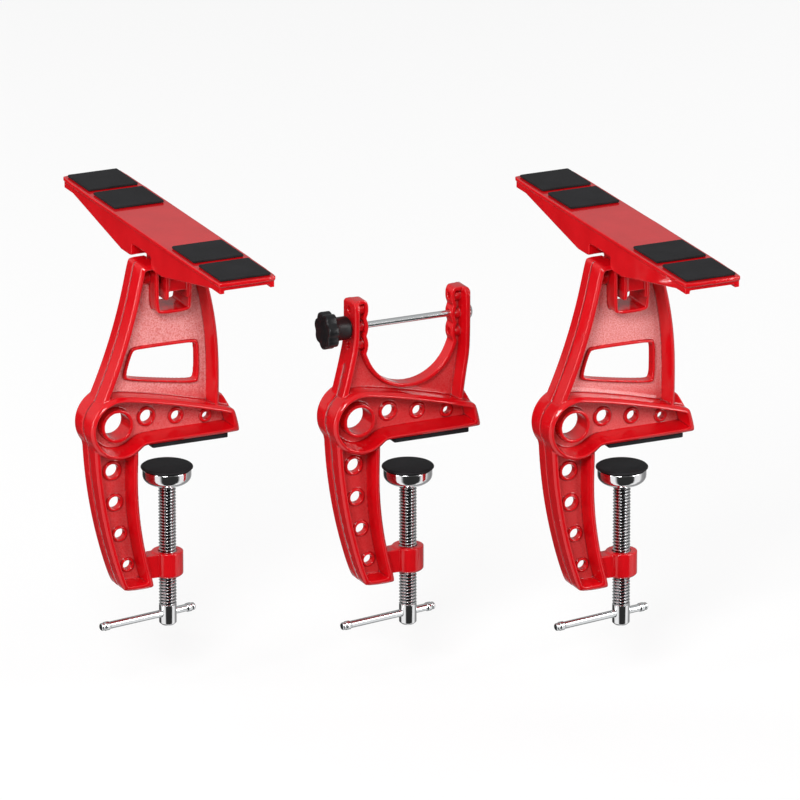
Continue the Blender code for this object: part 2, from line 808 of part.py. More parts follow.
def yoke_path(open_top):
    """The yoke's outline, with or without the cradle. Its pockets may run out at the arms' tops."""
    foot = standing_path(YOKE_FOOT_X)
    bend = (YOKE_RIGHT_X, YOKE_RIGHT_BEND_Z)
    path = [foot[0]]
    path.extend(corners(Bow((foot[1].x, foot[1].z), bend, YOKE_RIGHT_BOW).points(BOW_PIECES), YOKE_FLANGE))
    path.append(Corner(YOKE_RIGHT_X, YOKE_TOP_Z, YOKE_OUTER_CORNER, -OVERRUN))
    if open_top:
        path.extend(reversed(cradle_path(0.0, YOKE_TOP_Z)))
    path.append(Corner(YOKE_LEFT_X, YOKE_TOP_Z, YOKE_OUTER_CORNER, YOKE_FLANGE))
    heel_end = on_circle(BOSS_X, BOSS_Z, BOSS_RADIUS - JAW_FLANGE / 2, YOKE_HEEL_ANGLE)
    heel = Bow((YOKE_LEFT_X, YOKE_LEFT_BEND_Z), heel_end, YOKE_LEFT_BOW).points(BOW_PIECES)
    path.extend(corners(heel[:-1], YOKE_FLANGE))
    path.append(Corner(heel[-1].x, heel[-1].y))
    return path


def yoke_shoulders(name):
    """Cutters that round the arms' tops, seen from the side, down to the cradle's thickness."""
    low = YOKE_TOP_Z - YOKE_SHOULDER
    high = YOKE_TOP_Z + OVERRUN
    narrow = CRADLE_THICKNESS / 2
    outside = YOKE_THICKNESS / 2 + OVERRUN
    path = [Corner(-outside, high), Corner(-outside, low)]
    for i in range(YOKE_SHOULDER_PIECES + 1):
        angle = math.pi / 2 * i / YOKE_SHOULDER_PIECES
        reach = narrow + (YOKE_THICKNESS / 2 - narrow) * math.cos(angle)
        path.append(Corner(-reach, low + YOKE_SHOULDER * math.sin(angle)))
    path.append(Corner(-narrow, high))
    mirrored = [Corner(-c.x, c.z) for c in reversed(path)]
    left = YOKE_LEFT_X - OVERRUN
    right = YOKE_RIGHT_X + OVERRUN
    return [wall_across(name, path, left, right), wall_across(name + "_back", mirrored, left, right)]


def yoke(name):
    """Thick flanges outside, and between them a thinner cradle with a barrel round each bore."""
    body = casting(name, yoke_path(True), YOKE_THICKNESS, YOKE_EDGE)
    hollow = pockets(name + "_pocket", yoke_path(False), YOKE_THICKNESS)
    wall_path = cradle_path(CRADLE_FLANGE, YOKE_TOP_Z + OVERRUN)
    top_path = [
        Corner(YOKE_LEFT_X, YOKE_TOP_Z - YOKE_FLANGE),
        Corner(YOKE_RIGHT_X, YOKE_TOP_Z - YOKE_FLANGE),
        Corner(YOKE_RIGHT_X, YOKE_TOP_Z + 2 * OVERRUN),
        Corner(YOKE_LEFT_X, YOKE_TOP_Z + 2 * OVERRUN),
    ]
    cut(hollow, block(name + "_cradle_wall", wall_path, CRADLE_THICKNESS))
    cut(hollow, block(name + "_top_wall", top_path, CRADLE_THICKNESS))
    for i in range(ROD_HOLES):
        bar = pole(f"{name}_barrel_{i}", BARREL_RADIUS, YOKE_LEFT_X + YOKE_FLANGE / 2,
                   YOKE_RIGHT_X - YOKE_FLANGE / 2, BARREL_SIDES)
        lay(bar, ALONG_X)
        cut(hollow, lay(bar, Matrix.Translation((0.0, 0.0, rod_z(i)))))
    cut(body, hollow, *yoke_shoulders(name + "_shoulder"))
    return body


def bore_along_x(name, radius, left, right, z):
    body = lay(pole(name, radius, left, right, SMALL_SIDES), ALONG_X)
    return lay(body, Matrix.Translation((0.0, 0.0, z)))


def pin_bores(name):
    """Blind in the left horn, and open at the right so that the pin can be driven in."""
    return [bore_along_x(name, PIN_RADIUS + GAP, PIN_LEFT_X - GAP, TOWER_BELLY_X + OVERRUN, PIN_Z)]


def rod_bores(name):
    left = YOKE_LEFT_X - OVERRUN
    right = YOKE_RIGHT_X + OVERRUN
    return [bore_along_x(f"{name}_{i}", ROD_RADIUS + GAP, left, right, rod_z(i)) for i in range(ROD_HOLES)]


def screw_bore(name):
    radius = SPINDLE_RADIUS / math.cos(math.pi / SCREW_SIDES) + GAP
    return pole(name, radius, LUG_BOTTOM_Z - OVERRUN, LUG_TOP_Z + OVERRUN, SCREW_SIDES)


def casting_holes(name, cross_bores):
    """Every round hole in the casting, as one cutter."""
    through = JAW_THICKNESS + 2 * OVERRUN
    bars = [round_bar(name, BOSS_X, BOSS_Z, BOSS_BORE, through, ROUND_SIDES), screw_bore(name + "_screw")]
    holes = [jaw_hole(i) for i in range(JAW_HOLES)] + [arm_hole(i) for i in range(ARM_HOLES)]
    for i, (x, z, radius, _) in enumerate(holes):
        bars.append(round_bar(f"{name}_{i}", x, z, radius, through, SMALL_SIDES))
    return weld(*bars, *cross_bores)


def frame(unit, holder, upper):
    """The whole casting: jaw and boss, clamp arm with its lug, and a tower or a yoke on top."""
    name = unit + "_frame"
    body = casting(name, jaw_path(), JAW_THICKNESS, JAW_EDGE)
    add(body, upper(unit + "_upper"), clamp_arm(unit + "_arm"))
    add(body, lug(unit + "_lug"), lug_web(unit + "_lug_web"))
    cut(body, jaw_pockets(unit + "_jaw_pocket"))
    if upper is tower:
        add(body, gusset(unit + "_gusset", TOWER_FOOT_X, TOWER_FLANGE))
        cross_bores = pin_bores(unit + "_pin_bore")
    else:
        add(body, gusset(unit + "_gusset", YOKE_FOOT_X, YOKE_FLANGE))
        cross_bores = rod_bores(unit + "_rod_bore")
    cut(body, casting_holes(unit + "_holes", cross_bores))
    return finish(body, RED, holder)


def slab(name, width, length, corner, low, high, edge=0.0):
    """A flat plate with round corners, its top edge eased when an edge is given."""
    path = [
        Corner(-width / 2, -length / 2, corner),
        Corner(width / 2, -length / 2, corner),
        Corner(width / 2, length / 2, corner),
        Corner(-width / 2, length / 2, corner),
    ]
    layers = [(low, path), (high, path)]
    if edge:
        layers = [(low, path), (high - edge, path), (high, inset(path, edge))]
    return loft(name, [[(p.x, p.y, z) for p in rounded(outline)] for z, outline in layers])


def jaw_pad(unit, holder):
    body = slab(unit + "_jaw_pad", JAW_PAD_LENGTH, JAW_PAD_WIDTH, JAW_PAD_CORNER, 0.0, JAW_PAD_HEIGHT)
    return finish(body, BLACK_RUBBER, holder, (JAW_PAD_X, 0.0, 0.0))


def ball_rows(radius, neck):
    """Radius and height of each row of a ball, from its neck up to its top."""
    low_angle = math.acos(neck / radius)
    rows = []
    for i in range(BALL_PIECES):
        angle = -low_angle + (math.pi / 2 + low_angle) * i / BALL_PIECES
        rows.append((radius * math.cos(angle), ball_centre_z() + radius * math.sin(angle)))
    return rows + [(0.0, ball_centre_z() + radius)]


def spindle(unit, holder):
    """The screw: a ball end in the swivel cup, the threaded length and the plain head."""
    shoulder = cup_bottom_z() - RUNNING_GAP
    profile = [
        (0.0, SPINDLE_BOTTOM_Z),
        (SPINDLE_RADIUS - SPINDLE_EDGE, SPINDLE_BOTTOM_Z),
        (SPINDLE_RADIUS, SPINDLE_BOTTOM_Z + SPINDLE_EDGE),
        (SPINDLE_RADIUS, shoulder),
        (NECK_RADIUS, shoulder),
    ]
    profile.extend(ball_rows(BALL_RADIUS, NECK_RADIUS))
    body = turned(unit + "_spindle", profile, SCREW_SIDES)
    hole = lay(pole(unit + "_bar_hole", BAR_RADIUS + GAP, -2 * SPINDLE_RADIUS, 2 * SPINDLE_RADIUS,
                    SMALL_SIDES), ALONG_X)
    lay(hole, Matrix.Rotation(BAR_ANGLE, 4, "Z"))
    cut(body, lay(hole, Matrix.Translation((0.0, 0.0, BAR_Z))))
    return finish(body, CHROME, holder)


def cup_top_z():
    return DISC_TOP_Z - DISC_HEIGHT - GAP


def cup_bottom_z():
    return cup_top_z() - CUP_HEIGHT


def ball_centre_z():
    return cup_top_z() - CUP_CROWN - RUNNING_GAP - BALL_RADIUS


def swivel_cup(unit, holder):
    """The turned foot that the screw presses with, with a socket for the screw's ball."""
    top = cup_top_z()
    bottom = cup_bottom_z()
    flank = top - CUP_RIM
    mouth = CUP_MOUTH_RADIUS
    profile = [(NECK_RADIUS + RUNNING_GAP, bottom), (mouth, bottom)]
    for i in range(CUP_PIECES + 1):
        angle = math.pi / 2 * (1 - i / CUP_PIECES)
        radius = mouth + (CUP_RADIUS - mouth) * math.cos(angle)
        profile.append((radius, flank - (flank - bottom - CUP_STEP) * math.sin(angle)))
    profile.append((CUP_RADIUS, top))
    profile.append((0.0, top))
    socket = ball_rows(BALL_RADIUS + RUNNING_GAP, NECK_RADIUS + RUNNING_GAP)
    body = turned(unit + "_swivel_cup", list(reversed(socket)) + profile)
    return finish(body, CHROME, holder)


def rubber_disc(unit, holder):
    body = pole(unit + "_rubber_disc", DISC_RADIUS, DISC_TOP_Z - DISC_HEIGHT, DISC_TOP_Z, DISC_SIDES)
    return finish(body, BLACK_RUBBER, holder)


def turning_bar(unit, holder):
    """The bar through the screw's head, with an end pressed wider so that it can't fall out."""
    ease = BAR_END_RADIUS - BAR_RADIUS
    left = -BAR_LEFT
    right = BAR_RIGHT
    profile = [
        (0.0, left),
        (BAR_RADIUS, left),
        (BAR_END_RADIUS, left + ease),
        (BAR_END_RADIUS, left + BAR_END_LENGTH - ease),
        (BAR_RADIUS, left + BAR_END_LENGTH),
        (BAR_RADIUS, right - BAR_END_LENGTH),
        (BAR_END_RADIUS, right - BAR_END_LENGTH + ease),
        (BAR_END_RADIUS, right - ease),
        (BAR_RADIUS, right),
        (0.0, right),
    ]
    body = lay(turned(unit + "_t_bar", profile, SMALL_SIDES), ALONG_X)
    lay(body, Matrix.Rotation(BAR_ANGLE, 4, "Z"))
    return finish(body, CHROME, holder, (0.0, 0.0, BAR_Z))


def screw(unit, holder):
    spindle(unit, holder)
    swivel_cup(unit, holder)
    rubber_disc(unit, holder)
    turning_bar(unit, holder)


def skirt_path():
    """The long side wall of the table, deep in the middle, with a notch for the tower."""
    top = TABLE_TOP_Z - TABLE_PLATE / 2
    half = TABLE_LENGTH / 2 - TABLE_LIP
    side = [
        Corner(SKIRT_NOTCH_Y, SKIRT_NOTCH_Z, SKIRT_NOTCH_CORNER),
        Corner(SKIRT_NOTCH_Y, SKIRT_LOW_Z, SKIRT_NOTCH_CORNER),
        Corner(SKIRT_LOW_Y, SKIRT_LOW_Z, SKIRT_BEND),
        Corner(SKIRT_END_Y, SKIRT_END_Z, SKIRT_BEND),
        Corner(half, SKIRT_END_Z),
        Corner(half, top),
    ]
    mirrored = [Corner(-c.x, c.z, c.radius) for c in reversed(side)]
    return side + mirrored


def box(name, x0, x1, y0, y1, z0, z1):
    path = [Corner(x0, z0), Corner(x1, z0), Corner(x1, z1), Corner(x0, z1)]
    return block(name, path, y1 - y0, (y0 + y1) / 2)


def stem_ear(name, left):
    half = STEM_HALF_WIDTH + RUNNING_GAP
    top = TABLE_TOP_Z - TABLE_PLATE / 2
    path = [
        Corner(-half, STEM_BOTTOM_Z, STEM_CORNER),
        Corner(half, STEM_BOTTOM_Z, STEM_CORNER),
        Corner(half, top),
        Corner(-half, top),
    ]
    return wall_across(name, path, left, left + STEM_EAR, PIN_Z)


def table_walls(name, side):
    """The cross wall, the stem's own web and the end wall on one side of the pin."""
    roof = TABLE_TOP_Z - TABLE_PLATE / 2 - PIN_Z
    half = TABLE_WIDTH / 2 - TABLE_LIP - TABLE_WALL / 2
    left = TABLE_X - half
    right = TABLE_X + half
    inner_left = STEM_LEFT_X + STEM_EAR / 2
    inner_right = STEM_RIGHT_X - STEM_EAR / 2
    web_outer = STEM_HALF_WIDTH - STEM_WEB_RECESS
    web_inner = web_outer - STEM_WEB
    end = TABLE_LENGTH / 2 - TABLE_LIP
    spans = [
        (left, right, STEM_HALF_WIDTH, STEM_HALF_WIDTH + CROSS_WALL, CROSS_WALL_Z - PIN_Z),
        (inner_left, inner_right, web_inner, web_outer, STEM_WEB_Z - PIN_Z),
        (inner_left, inner_right, web_outer - STEM_WEB / 2, STEM_HALF_WIDTH + CROSS_WALL / 2,
         CROSS_WALL_Z - PIN_Z),
        (left, right, end - CROSS_WALL, end, END_WALL_Z - PIN_Z),
    ]
    walls = []
    for i, (x0, x1, near, far, low) in enumerate(spans):
        y0, y1 = (near, far) if side > 0 else (-far, -near)
        walls.append(box(f"{name}_{i}", x0, x1, y0, y1, low, roof))
    return walls


def table(unit, pivot):
    """The rocking table: a plate on two deep skirts, and a boxed stem that hangs on the pin."""
    name = unit + "_platform"
    low = TABLE_TOP_Z - TABLE_PLATE - PIN_Z
    body = slab(name, TABLE_WIDTH, TABLE_LENGTH, TABLE_CORNER, low, TABLE_TOP_Z - PIN_Z)
    lay(body, Matrix.Translation((TABLE_X, 0.0, 0.0)))
    outer = TABLE_WIDTH / 2 - TABLE_LIP
    left = TABLE_X - outer
    right = TABLE_X + outer
    add(body, wall_across(unit + "_skirt_left", skirt_path(), left, left + TABLE_WALL, PIN_Z))
    add(body, wall_across(unit + "_skirt_right", skirt_path(), right - TABLE_WALL, right, PIN_Z))
    add(body, stem_ear(unit + "_ear_left", STEM_LEFT_X))
    add(body, stem_ear(unit + "_ear_right", STEM_RIGHT_X - STEM_EAR))
    for side in (1, -1):
        add(body, *table_walls(f"{unit}_wall_{'back' if side > 0 else 'front'}", side))
    bore = pole(unit + "_ear_bore", PIN_RADIUS + GAP, STEM_LEFT_X - OVERRUN, STEM_RIGHT_X + OVERRUN,
                SMALL_SIDES)
    cut(body, lay(bore, ALONG_X))
    return finish(body, RED, pivot)


def table_pads(unit, pivot):
    low = TABLE_TOP_Z + GAP
    places = [-PAD_FIRST_Y - PAD_PITCH, -PAD_FIRST_Y, PAD_FIRST_Y, PAD_FIRST_Y + PAD_PITCH]
    for i, y in enumerate(places, start=1):
        pad = slab(f"{unit}_pad_{i}", PAD_SIDE, PAD_SIDE, PAD_CORNER, 0.0, PAD_HEIGHT)
        finish(pad, BLACK_RUBBER, pivot, (TABLE_X, y, low - PIN_Z))


def pivot_pin(unit, holder):
    profile = [(0.0, PIN_LEFT_X), (PIN_RADIUS, PIN_LEFT_X), (PIN_RADIUS, PIN_RIGHT_X), (0.0, PIN_RIGHT_X)]
    body = lay(turned(unit + "_pivot_pin", profile, SMALL_SIDES), ALONG_X)
    return finish(body, STEEL, holder, (0.0, 0.0, PIN_Z))


def spacer(unit, holder):
    """Fills the side play between the fork's left horn and the stem."""
    left = FORK_LEFT_X + GAP
    right = STEM_LEFT_X - GAP
    bore = PIN_RADIUS + GAP
    outer = bore + SPACER_WALL
    profile = [(bore, left), (outer, left), (outer, right), (bore, right)]
    body = lay(turned(unit + "_spacer_bush", profile, SMALL_SIDES), ALONG_X)
    return finish(body, STEEL, holder, (0.0, 0.0, PIN_Z))


def clamp_rod(unit, holder):
    right = YOKE_RIGHT_X + NUT_HEIGHT - NUT_FLOOR
    body = lay(pole(unit + "_clamp_rod", ROD_RADIUS, ROD_LEFT_X, right, SMALL_SIDES), ALONG_X)
    return finish(body, CHROME, holder)


def domed_nut(unit, holder):
    """A low domed cap on the rod's end, blind, outside the yoke's right arm."""
    start = YOKE_RIGHT_X + GAP
    bore = ROD_RADIUS + GAP
    profile = [(bore, start), (NUT_RADIUS, start)]
    for i in range(NUT_PIECES):
        angle = math.pi / 2 * i / NUT_PIECES
        rise = NUT_RIM + (NUT_HEIGHT - NUT_RIM) * math.sin(angle)
        profile.append((NUT_RADIUS * math.cos(angle), start + rise))
    profile.append((0.0, start + NUT_HEIGHT))
    floor = start + NUT_HEIGHT - NUT_FLOOR
    body = turned(unit + "_domed_nut", [(0.0, floor), (bore, floor)] + profile, SMALL_SIDES)
    return finish(lay(body, ALONG_X), CHROME, holder)


def knob_washer(unit, holder):
    right = YOKE_LEFT_X - GAP
    left = right - WASHER_HEIGHT
    bore = ROD_RADIUS + GAP
    profile = [(bore, left), (WASHER_RADIUS, left), (WASHER_RADIUS, right), (bore, right)]
    body = lay(turned(unit + "_knob_washer", profile, SMALL_SIDES), ALONG_X)
    return finish(body, STEEL, holder)


def star_knob(unit, holder):
    """A lobed grip with a round hub; its blind bore takes the rod's threaded end."""
    hub_right = YOKE_LEFT_X - GAP - WASHER_HEIGHT - GAP
    hub_left = hub_right - HUB_LENGTH
    head_left = hub_left - KNOB_HEIGHT
    count = KNOB_LOBES * KNOB_POINTS_PER_LOBE
    rings = []
    for x, ease in ((head_left, KNOB_EDGE), (head_left + KNOB_EDGE, 0.0),
                    (hub_left - KNOB_EDGE, 0.0), (hub_left, KNOB_EDGE)):
        ring = []
        for k in range(count):
            angle = 2 * math.pi * k / count
            dip = KNOB_LOBE_DEPTH * (0.5 - 0.5 * math.cos(KNOB_LOBES * angle)) ** KNOB_LOBE_SQUARENESS
            radius = KNOB_RADIUS - dip - ease
            ring.append((x, *on_circle(0.0, 0.0, radius, angle)))
        rings.append(ring)
    body = loft(unit + "_star_knob", rings)
    hub = lay(pole(unit + "_hub", HUB_RADIUS, hub_left - KNOB_HEIGHT / 2, hub_right, ROUND_SIDES), ALONG_X)
    add(body, hub)
    bore_left = ROD_LEFT_X - GAP
    bore = pole(unit + "_knob_bore", ROD_RADIUS + GAP, bore_left, hub_right + OVERRUN, SMALL_SIDES)
    cut(body, lay(bore, ALONG_X))
    return finish(body, BLACK_PLASTIC, holder)


def end_clamp(unit, x, y):
    base = empty(unit + "_base", (x, y, 0.0))
    frame(unit, base, tower)
    jaw_pad(unit, base)
    pivot_pin(unit, base)
    spacer(unit, base)
    pivot = empty(unit + "_pivot", (x, y, PIN_Z))
    table(unit, pivot)
    table_pads(unit, pivot)
    screw(unit, empty(unit + "_screw_axis", (x, y, 0.0)))


def middle_clamp(unit):
    base = empty(unit + "_base", (0.0, 0.0, 0.0))
    frame(unit, base, yoke)
    jaw_pad(unit, base)
    rod_axis = empty(unit + "_rod_axis", (0.0, 0.0, rod_z(ROD_SLOT)))
    clamp_rod(unit, rod_axis)
    domed_nut(unit, rod_axis)
    knob_washer(unit, rod_axis)
    star_knob(unit, rod_axis)
    screw(unit, empty(unit + "_screw_axis", (0.0, 0.0, -MIDDLE_SCREW_DROP)))


end_clamp("left", LEFT_X, LEFT_Y)
middle_clamp("centre")
end_clamp("right", RIGHT_X, RIGHT_Y)
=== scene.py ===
"""The looks of the set of ski clamps: cast and enamelled frames, turned screws, rubber pads."""

import json
import math

import bmesh
import bpy
import numpy as np
from mathutils import Matrix, Vector
from mathutils.bvhtree import BVHTree


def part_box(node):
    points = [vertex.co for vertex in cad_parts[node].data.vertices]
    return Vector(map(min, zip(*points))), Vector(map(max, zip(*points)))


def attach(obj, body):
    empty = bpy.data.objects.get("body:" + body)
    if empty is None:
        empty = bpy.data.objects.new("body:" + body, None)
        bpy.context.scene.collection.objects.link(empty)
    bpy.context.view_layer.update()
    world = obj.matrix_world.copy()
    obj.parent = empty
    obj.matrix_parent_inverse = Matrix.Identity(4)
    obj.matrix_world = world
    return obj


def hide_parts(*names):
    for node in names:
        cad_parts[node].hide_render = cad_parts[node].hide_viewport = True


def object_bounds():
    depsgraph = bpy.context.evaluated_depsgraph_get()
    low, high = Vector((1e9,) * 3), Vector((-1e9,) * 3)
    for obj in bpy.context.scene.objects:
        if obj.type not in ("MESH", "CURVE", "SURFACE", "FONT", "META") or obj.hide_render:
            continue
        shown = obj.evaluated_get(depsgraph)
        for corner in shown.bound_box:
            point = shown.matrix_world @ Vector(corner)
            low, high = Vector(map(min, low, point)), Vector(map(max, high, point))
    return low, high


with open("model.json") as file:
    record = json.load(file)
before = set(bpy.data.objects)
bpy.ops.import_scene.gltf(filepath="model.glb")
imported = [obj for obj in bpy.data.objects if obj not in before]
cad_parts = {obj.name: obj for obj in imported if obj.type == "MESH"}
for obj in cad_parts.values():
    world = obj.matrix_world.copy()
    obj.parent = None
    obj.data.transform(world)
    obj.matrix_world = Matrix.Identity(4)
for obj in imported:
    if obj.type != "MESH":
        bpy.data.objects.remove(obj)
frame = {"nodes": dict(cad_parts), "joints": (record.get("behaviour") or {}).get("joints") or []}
cad_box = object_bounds()

UNITS = ("left", "centre", "right")
ENDS = ("left", "right")
ALONG_X = Matrix.Rotation(math.radians(90), 4, "Y")
WELD = 0.000002
SLIVER = 0.000001

# Camera, as in the photograph
FOCAL_LENGTH = 500.0
SENSOR = 36.0
FIELD_WIDTH = 0.738
CAMERA_RIGHT = Vector((0.90741, -0.42025, 0.0))
CAMERA_UP = Vector((0.13334, 0.28792, 0.94832))
TO_CAMERA = Vector((-0.3985, -0.8605, 0.3173))
CAMERA_TARGET = CAMERA_RIGHT * -0.00734 + CAMERA_UP * 0.03155

# Castings: how finely they are remeshed and how far their edges are rounded
VOXEL = 0.0006
SMOOTH_STEPS = 7
TABLE_SMOOTH_STEPS = 4
CREASE = math.radians(33)
KEPT_FACES = 0.35

# The fine groove on the heels, which ends below the yoke on the centre casting
GROOVE_DEPTH = 0.0016
GROOVE_HALF = 0.0013
GROOVE_TOP_Z = {"centre": 0.0783}
HEEL_FACING = -0.25
HEEL_SIDEWAYS = 0.35
# How strongly the groove is painted dark, as painted shade
GROOVE_SHADE_STRENGTH = 1.6

# The webs' floors: cast grain, and how strong their painted sheen is at each of four heights, a pale
# pink painted in place of the lamps' reflection in the rough floors
HALF_WEB = 0.0020
WEB_MARGIN = 0.0010
WEB_FADE = 0.0006
WEB_FLATNESS = 0.80
WEB_HEIGHTS = (-0.020, 0.005, 0.040, 0.055)
END_PAINTED_SHEEN = (0.15, 0.35, 0.35, 1.0)
CENTRE_PAINTED_SHEEN = (0.10, 0.12, 0.12, 0.16)
SMOOTH_WEB_GRAIN = 0.35

# Bend per metre at which the painted edge highlight or the painted shade in an inner corner starts,
# over which it grows, and its full strength
EDGE_HIGHLIGHT_BENDS = (260.0, 500.0, 0.5)
CORNER_SHADE_BENDS = (120.0, 360.0, 0.85)

# Enamel colours and roughness
ENAMEL = (0.66, 0.003, 0.007)
ENAMEL_DARK = (0.62, 0.002, 0.006)
ENAMEL_LIGHT = (0.70, 0.004, 0.009)
# Painted sheen on the webs' floors: pale pinks in place of the lamps' reflection, speckled by the
# cast grain
PAINTED_SHEEN_DARK = (0.76, 0.180, 0.170)
PAINTED_SHEEN_LIGHT = (0.95, 0.430, 0.420)
# Painted shade in the inner corners and in the heel groove, and a painted highlight along the outer
# edges
CORNER_SHADE_COLOUR = (0.22, 0.001, 0.003)
GROOVE_SHADE_COLOUR = (0.14, 0.001, 0.003)
EDGE_HIGHLIGHT_COLOUR = (0.80, 0.020, 0.026)
ENAMEL_ROUGHNESS = 0.24
WEB_ROUGHNESS = 0.46

# The fine marks on steel: drawn out along the axes with a small number, so round the other axis
ROUND_Z = (0.02, 0.02, 1.0)
ROUND_X = (1.0, 0.02, 0.02)
ROUND_X_COARSELY = (1.0, 0.05, 0.05)
# Painted shade in the roots of the threads
ROOT_SHADE_COLOUR = (0.17, 0.17, 0.175)

# Rubber pads: corner radius and eased edge
JAW_PAD_EDGES = (0.0020, 0.0004)
TABLE_PAD_EDGES = (0.0016, 0.0005)
PADS_PER_TABLE = 4

# Turned pieces
FINE_SIDES = 56
PIN_SIDES = 40
BAR_SIDES = 32
THREAD_PITCH = 0.0030
THREAD_DEPTH = 0.0017
# One turn of a thread: share of the pitch, and share of the depth under the crest
THREAD_SHAPE = ((0.0, 1.0), (0.32, 0.1), (0.38, 0.0), (0.48, 0.0), (0.54, 0.1), (0.86, 1.0))
SCREW_RADIUS = 0.0082
SCREW_HEAD_HEIGHT = 0.0200
SCREW_CHAMFER = 0.0022
THREAD_GAP = 0.0005

# The turning bar: its ends as radius and distance from the tip
BAR_LEFT = -0.0742
BAR_RIGHT = 0.0291
BAR_BEARING = math.radians(9.97)
BAR_BORE = 0.0038
BAR_BORE_HALF = 0.0200
BAR_END = ((0.0, 0.0), (0.0029, 0.0), (0.0037, 0.0008), (0.0037, 0.0026), (0.0032, 0.0032),
           (0.00425, 0.0040), (0.00425, 0.0082), (0.0035, 0.0090))

# The swivel foot: its socket as radius and depth under the top, and its rubber disc
CUP_SOCKET = ((0.0, 0.0019), (0.0045, 0.0030), (0.0065, 0.0075), (0.0049, 0.0110))
CUP_NECK = 0.0049
CUP_MOUTH = 0.0095
CUP_RIM = 0.0228
CUP_FLANK = 0.0062
CUP_EASE = 0.0008
CUP_FOOT = 0.0012
CUP_STEPS = 8
DISC_RADIUS = 0.0243

# Pins, rod and nut
PIN_CHAMFER = 0.0005
RING_CHAMFER = 0.0003
BUSH_BORE = 0.0043
ROD_BORE = 0.0033
ROD_RADIUS = 0.0030
ROD_CORE = 0.0026
ROD_TIP = 0.0021
ROD_TIP_LENGTH = 0.0005
ROD_SHOULDER = 0.0006
ROD_PITCH = 0.0010
ROD_THREAD_DEPTH = 0.0005
ROD_THREAD_END_X = -0.0585
NUT_WALL = 0.0015
NUT_CHAMFER = 0.0004
NUT_STEPS = 10

# The star knob: rows across its grip as distance along and inset, from its face and from its back
KNOB_LOBES = 7
KNOB_SIDES = 140
KNOB_RADIUS = 0.0177
KNOB_DIP = 0.0022
KNOB_DIP_POWER = 1.5
KNOB_GRIP = 0.0110
KNOB_HUB = 0.0110
KNOB_BORE_START = 0.0064
KNOB_FACE = ((0.0007, 0.0060), (0.0001, 0.0042), (0.0, 0.0028),
             (0.0002, 0.0012), (0.0008, 0.0003), (0.0016, 0.0))
KNOB_BACK = ((0.0016, 0.0), (0.0006, 0.0003), (0.0, 0.0012))

# Studio: brightness by bearing in degrees from the front, below and above the horizon
STUDIO_FRONT = Vector((-0.42025, -0.90741, 0.0))
STUDIO_RIGHT = Vector((0.90741, -0.42025, 0.0))
LOW_WALLS = ((-180, 0.75), (-162, 0.45), (-148, 0.03), (-106, 0.03), (-95, 0.45),
             (-82, 1.0), (-34, 1.0), (-22, 0.03), (56, 0.03), (64, 0.95),
             (92, 0.95), (108, 0.35), (140, 0.25), (165, 0.6), (180, 0.75))
HIGH_WALLS = ((-180, 0.32), (-140, 0.32), (-110, 0.30), (-90, 0.9), (-50, 0.9), (-30, 0.10),
              (35, 0.10), (55, 0.8), (85, 0.8), (110, 0.3), (140, 0.30), (180, 0.32))
CEILING = (0.55, 0.55, 0.55)
WORLD_LIGHT = 0.42

# Floor, under the lowest place that any piece reaches
FLOOR_COLOUR = (0.93, 0.93, 0.93)
FLOOR_BOUNCE = (0.38, 0.38, 0.38)
FLOOR_WHITE = 0.8
FLOOR_SIZE = 60.0
FLOOR_GAP = 0.0005

# Lamps: name, place, width, height and watts. The matt ones aren't mirrored in enamel or metal.
MATT_LAMPS = ("top", "back", "back fill")
LAMPS = (
    ("key", (-1.7, -2.2, 1.9), 1.1, 1.1, 72.0),
    ("fill", (2.2, -1.7, 1.3), 1.2, 1.2, 30.0),
    ("top", (0.2, 1.4, 2.6), 2.0, 2.0, 8.0),
    ("back", (-1.8, 2.3, 1.2), 2.4, 2.0, 46.0),
    ("back fill", (2.5, 1.1, 0.9), 1.6, 1.6, 18.0),
    ("left strip", (-2.2, -0.5, 0.7), 0.25, 1.8, 14.0),
    ("right strip", (1.5, -2.3, 0.5), 0.25, 1.8, 14.0),
)

# Sockets of a mix node set to colour, whose names its other kinds share
MIX_FACTOR, MIX_FIRST, MIX_SECOND, MIX_RESULT = 0, 6, 7, 2


def middle_of(node):
    low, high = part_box(node)
    return (low + high) / 2


def added(tree, kind, **inputs):
    made = tree.nodes.new(kind)
    for name, value in inputs.items():
        made.inputs[name].default_value = value
    return made


def joined(tree, value, socket):
    """Links another node's output to the socket, or sets a number or a colour on it."""
    if isinstance(value, bpy.types.NodeSocket):
        tree.links.new(value, socket)
    elif isinstance(value, tuple):
        socket.default_value = (*value, 1.0)
    else:
        socket.default_value = value


def attribute(tree, name):
    made = tree.nodes.new("ShaderNodeAttribute")
    made.attribute_name = name
    return made.outputs["Fac"]


def counted(tree, operation, *values, clamp=False):
    made = tree.nodes.new("ShaderNodeMath")
    made.operation = operation
    made.use_clamp = clamp
    for socket, value in zip(made.inputs, values):
        joined(tree, value, socket)
    return made.outputs[0]


def mixed(tree, factor, first, second):
    made = tree.nodes.new("ShaderNodeMix")
    made.data_type = "RGBA"
    for place, value in ((MIX_FACTOR, factor), (MIX_FIRST, first), (MIX_SECOND, second)):
        joined(tree, value, made.inputs[place])
    return made.outputs[MIX_RESULT]


def ramp(tree, source, stops):
    made = tree.nodes.new("ShaderNodeValToRGB")
    points = made.color_ramp.elements
    while len(points) < len(stops):
        points.new(0.5)
    for point, (place, value) in zip(points, stops):
        point.position = place
        point.color = (*value, 1.0) if isinstance(value, tuple) else (value, value, value, 1.0)
    tree.links.new(source, made.inputs["Fac"])
    return made.outputs["Color"]


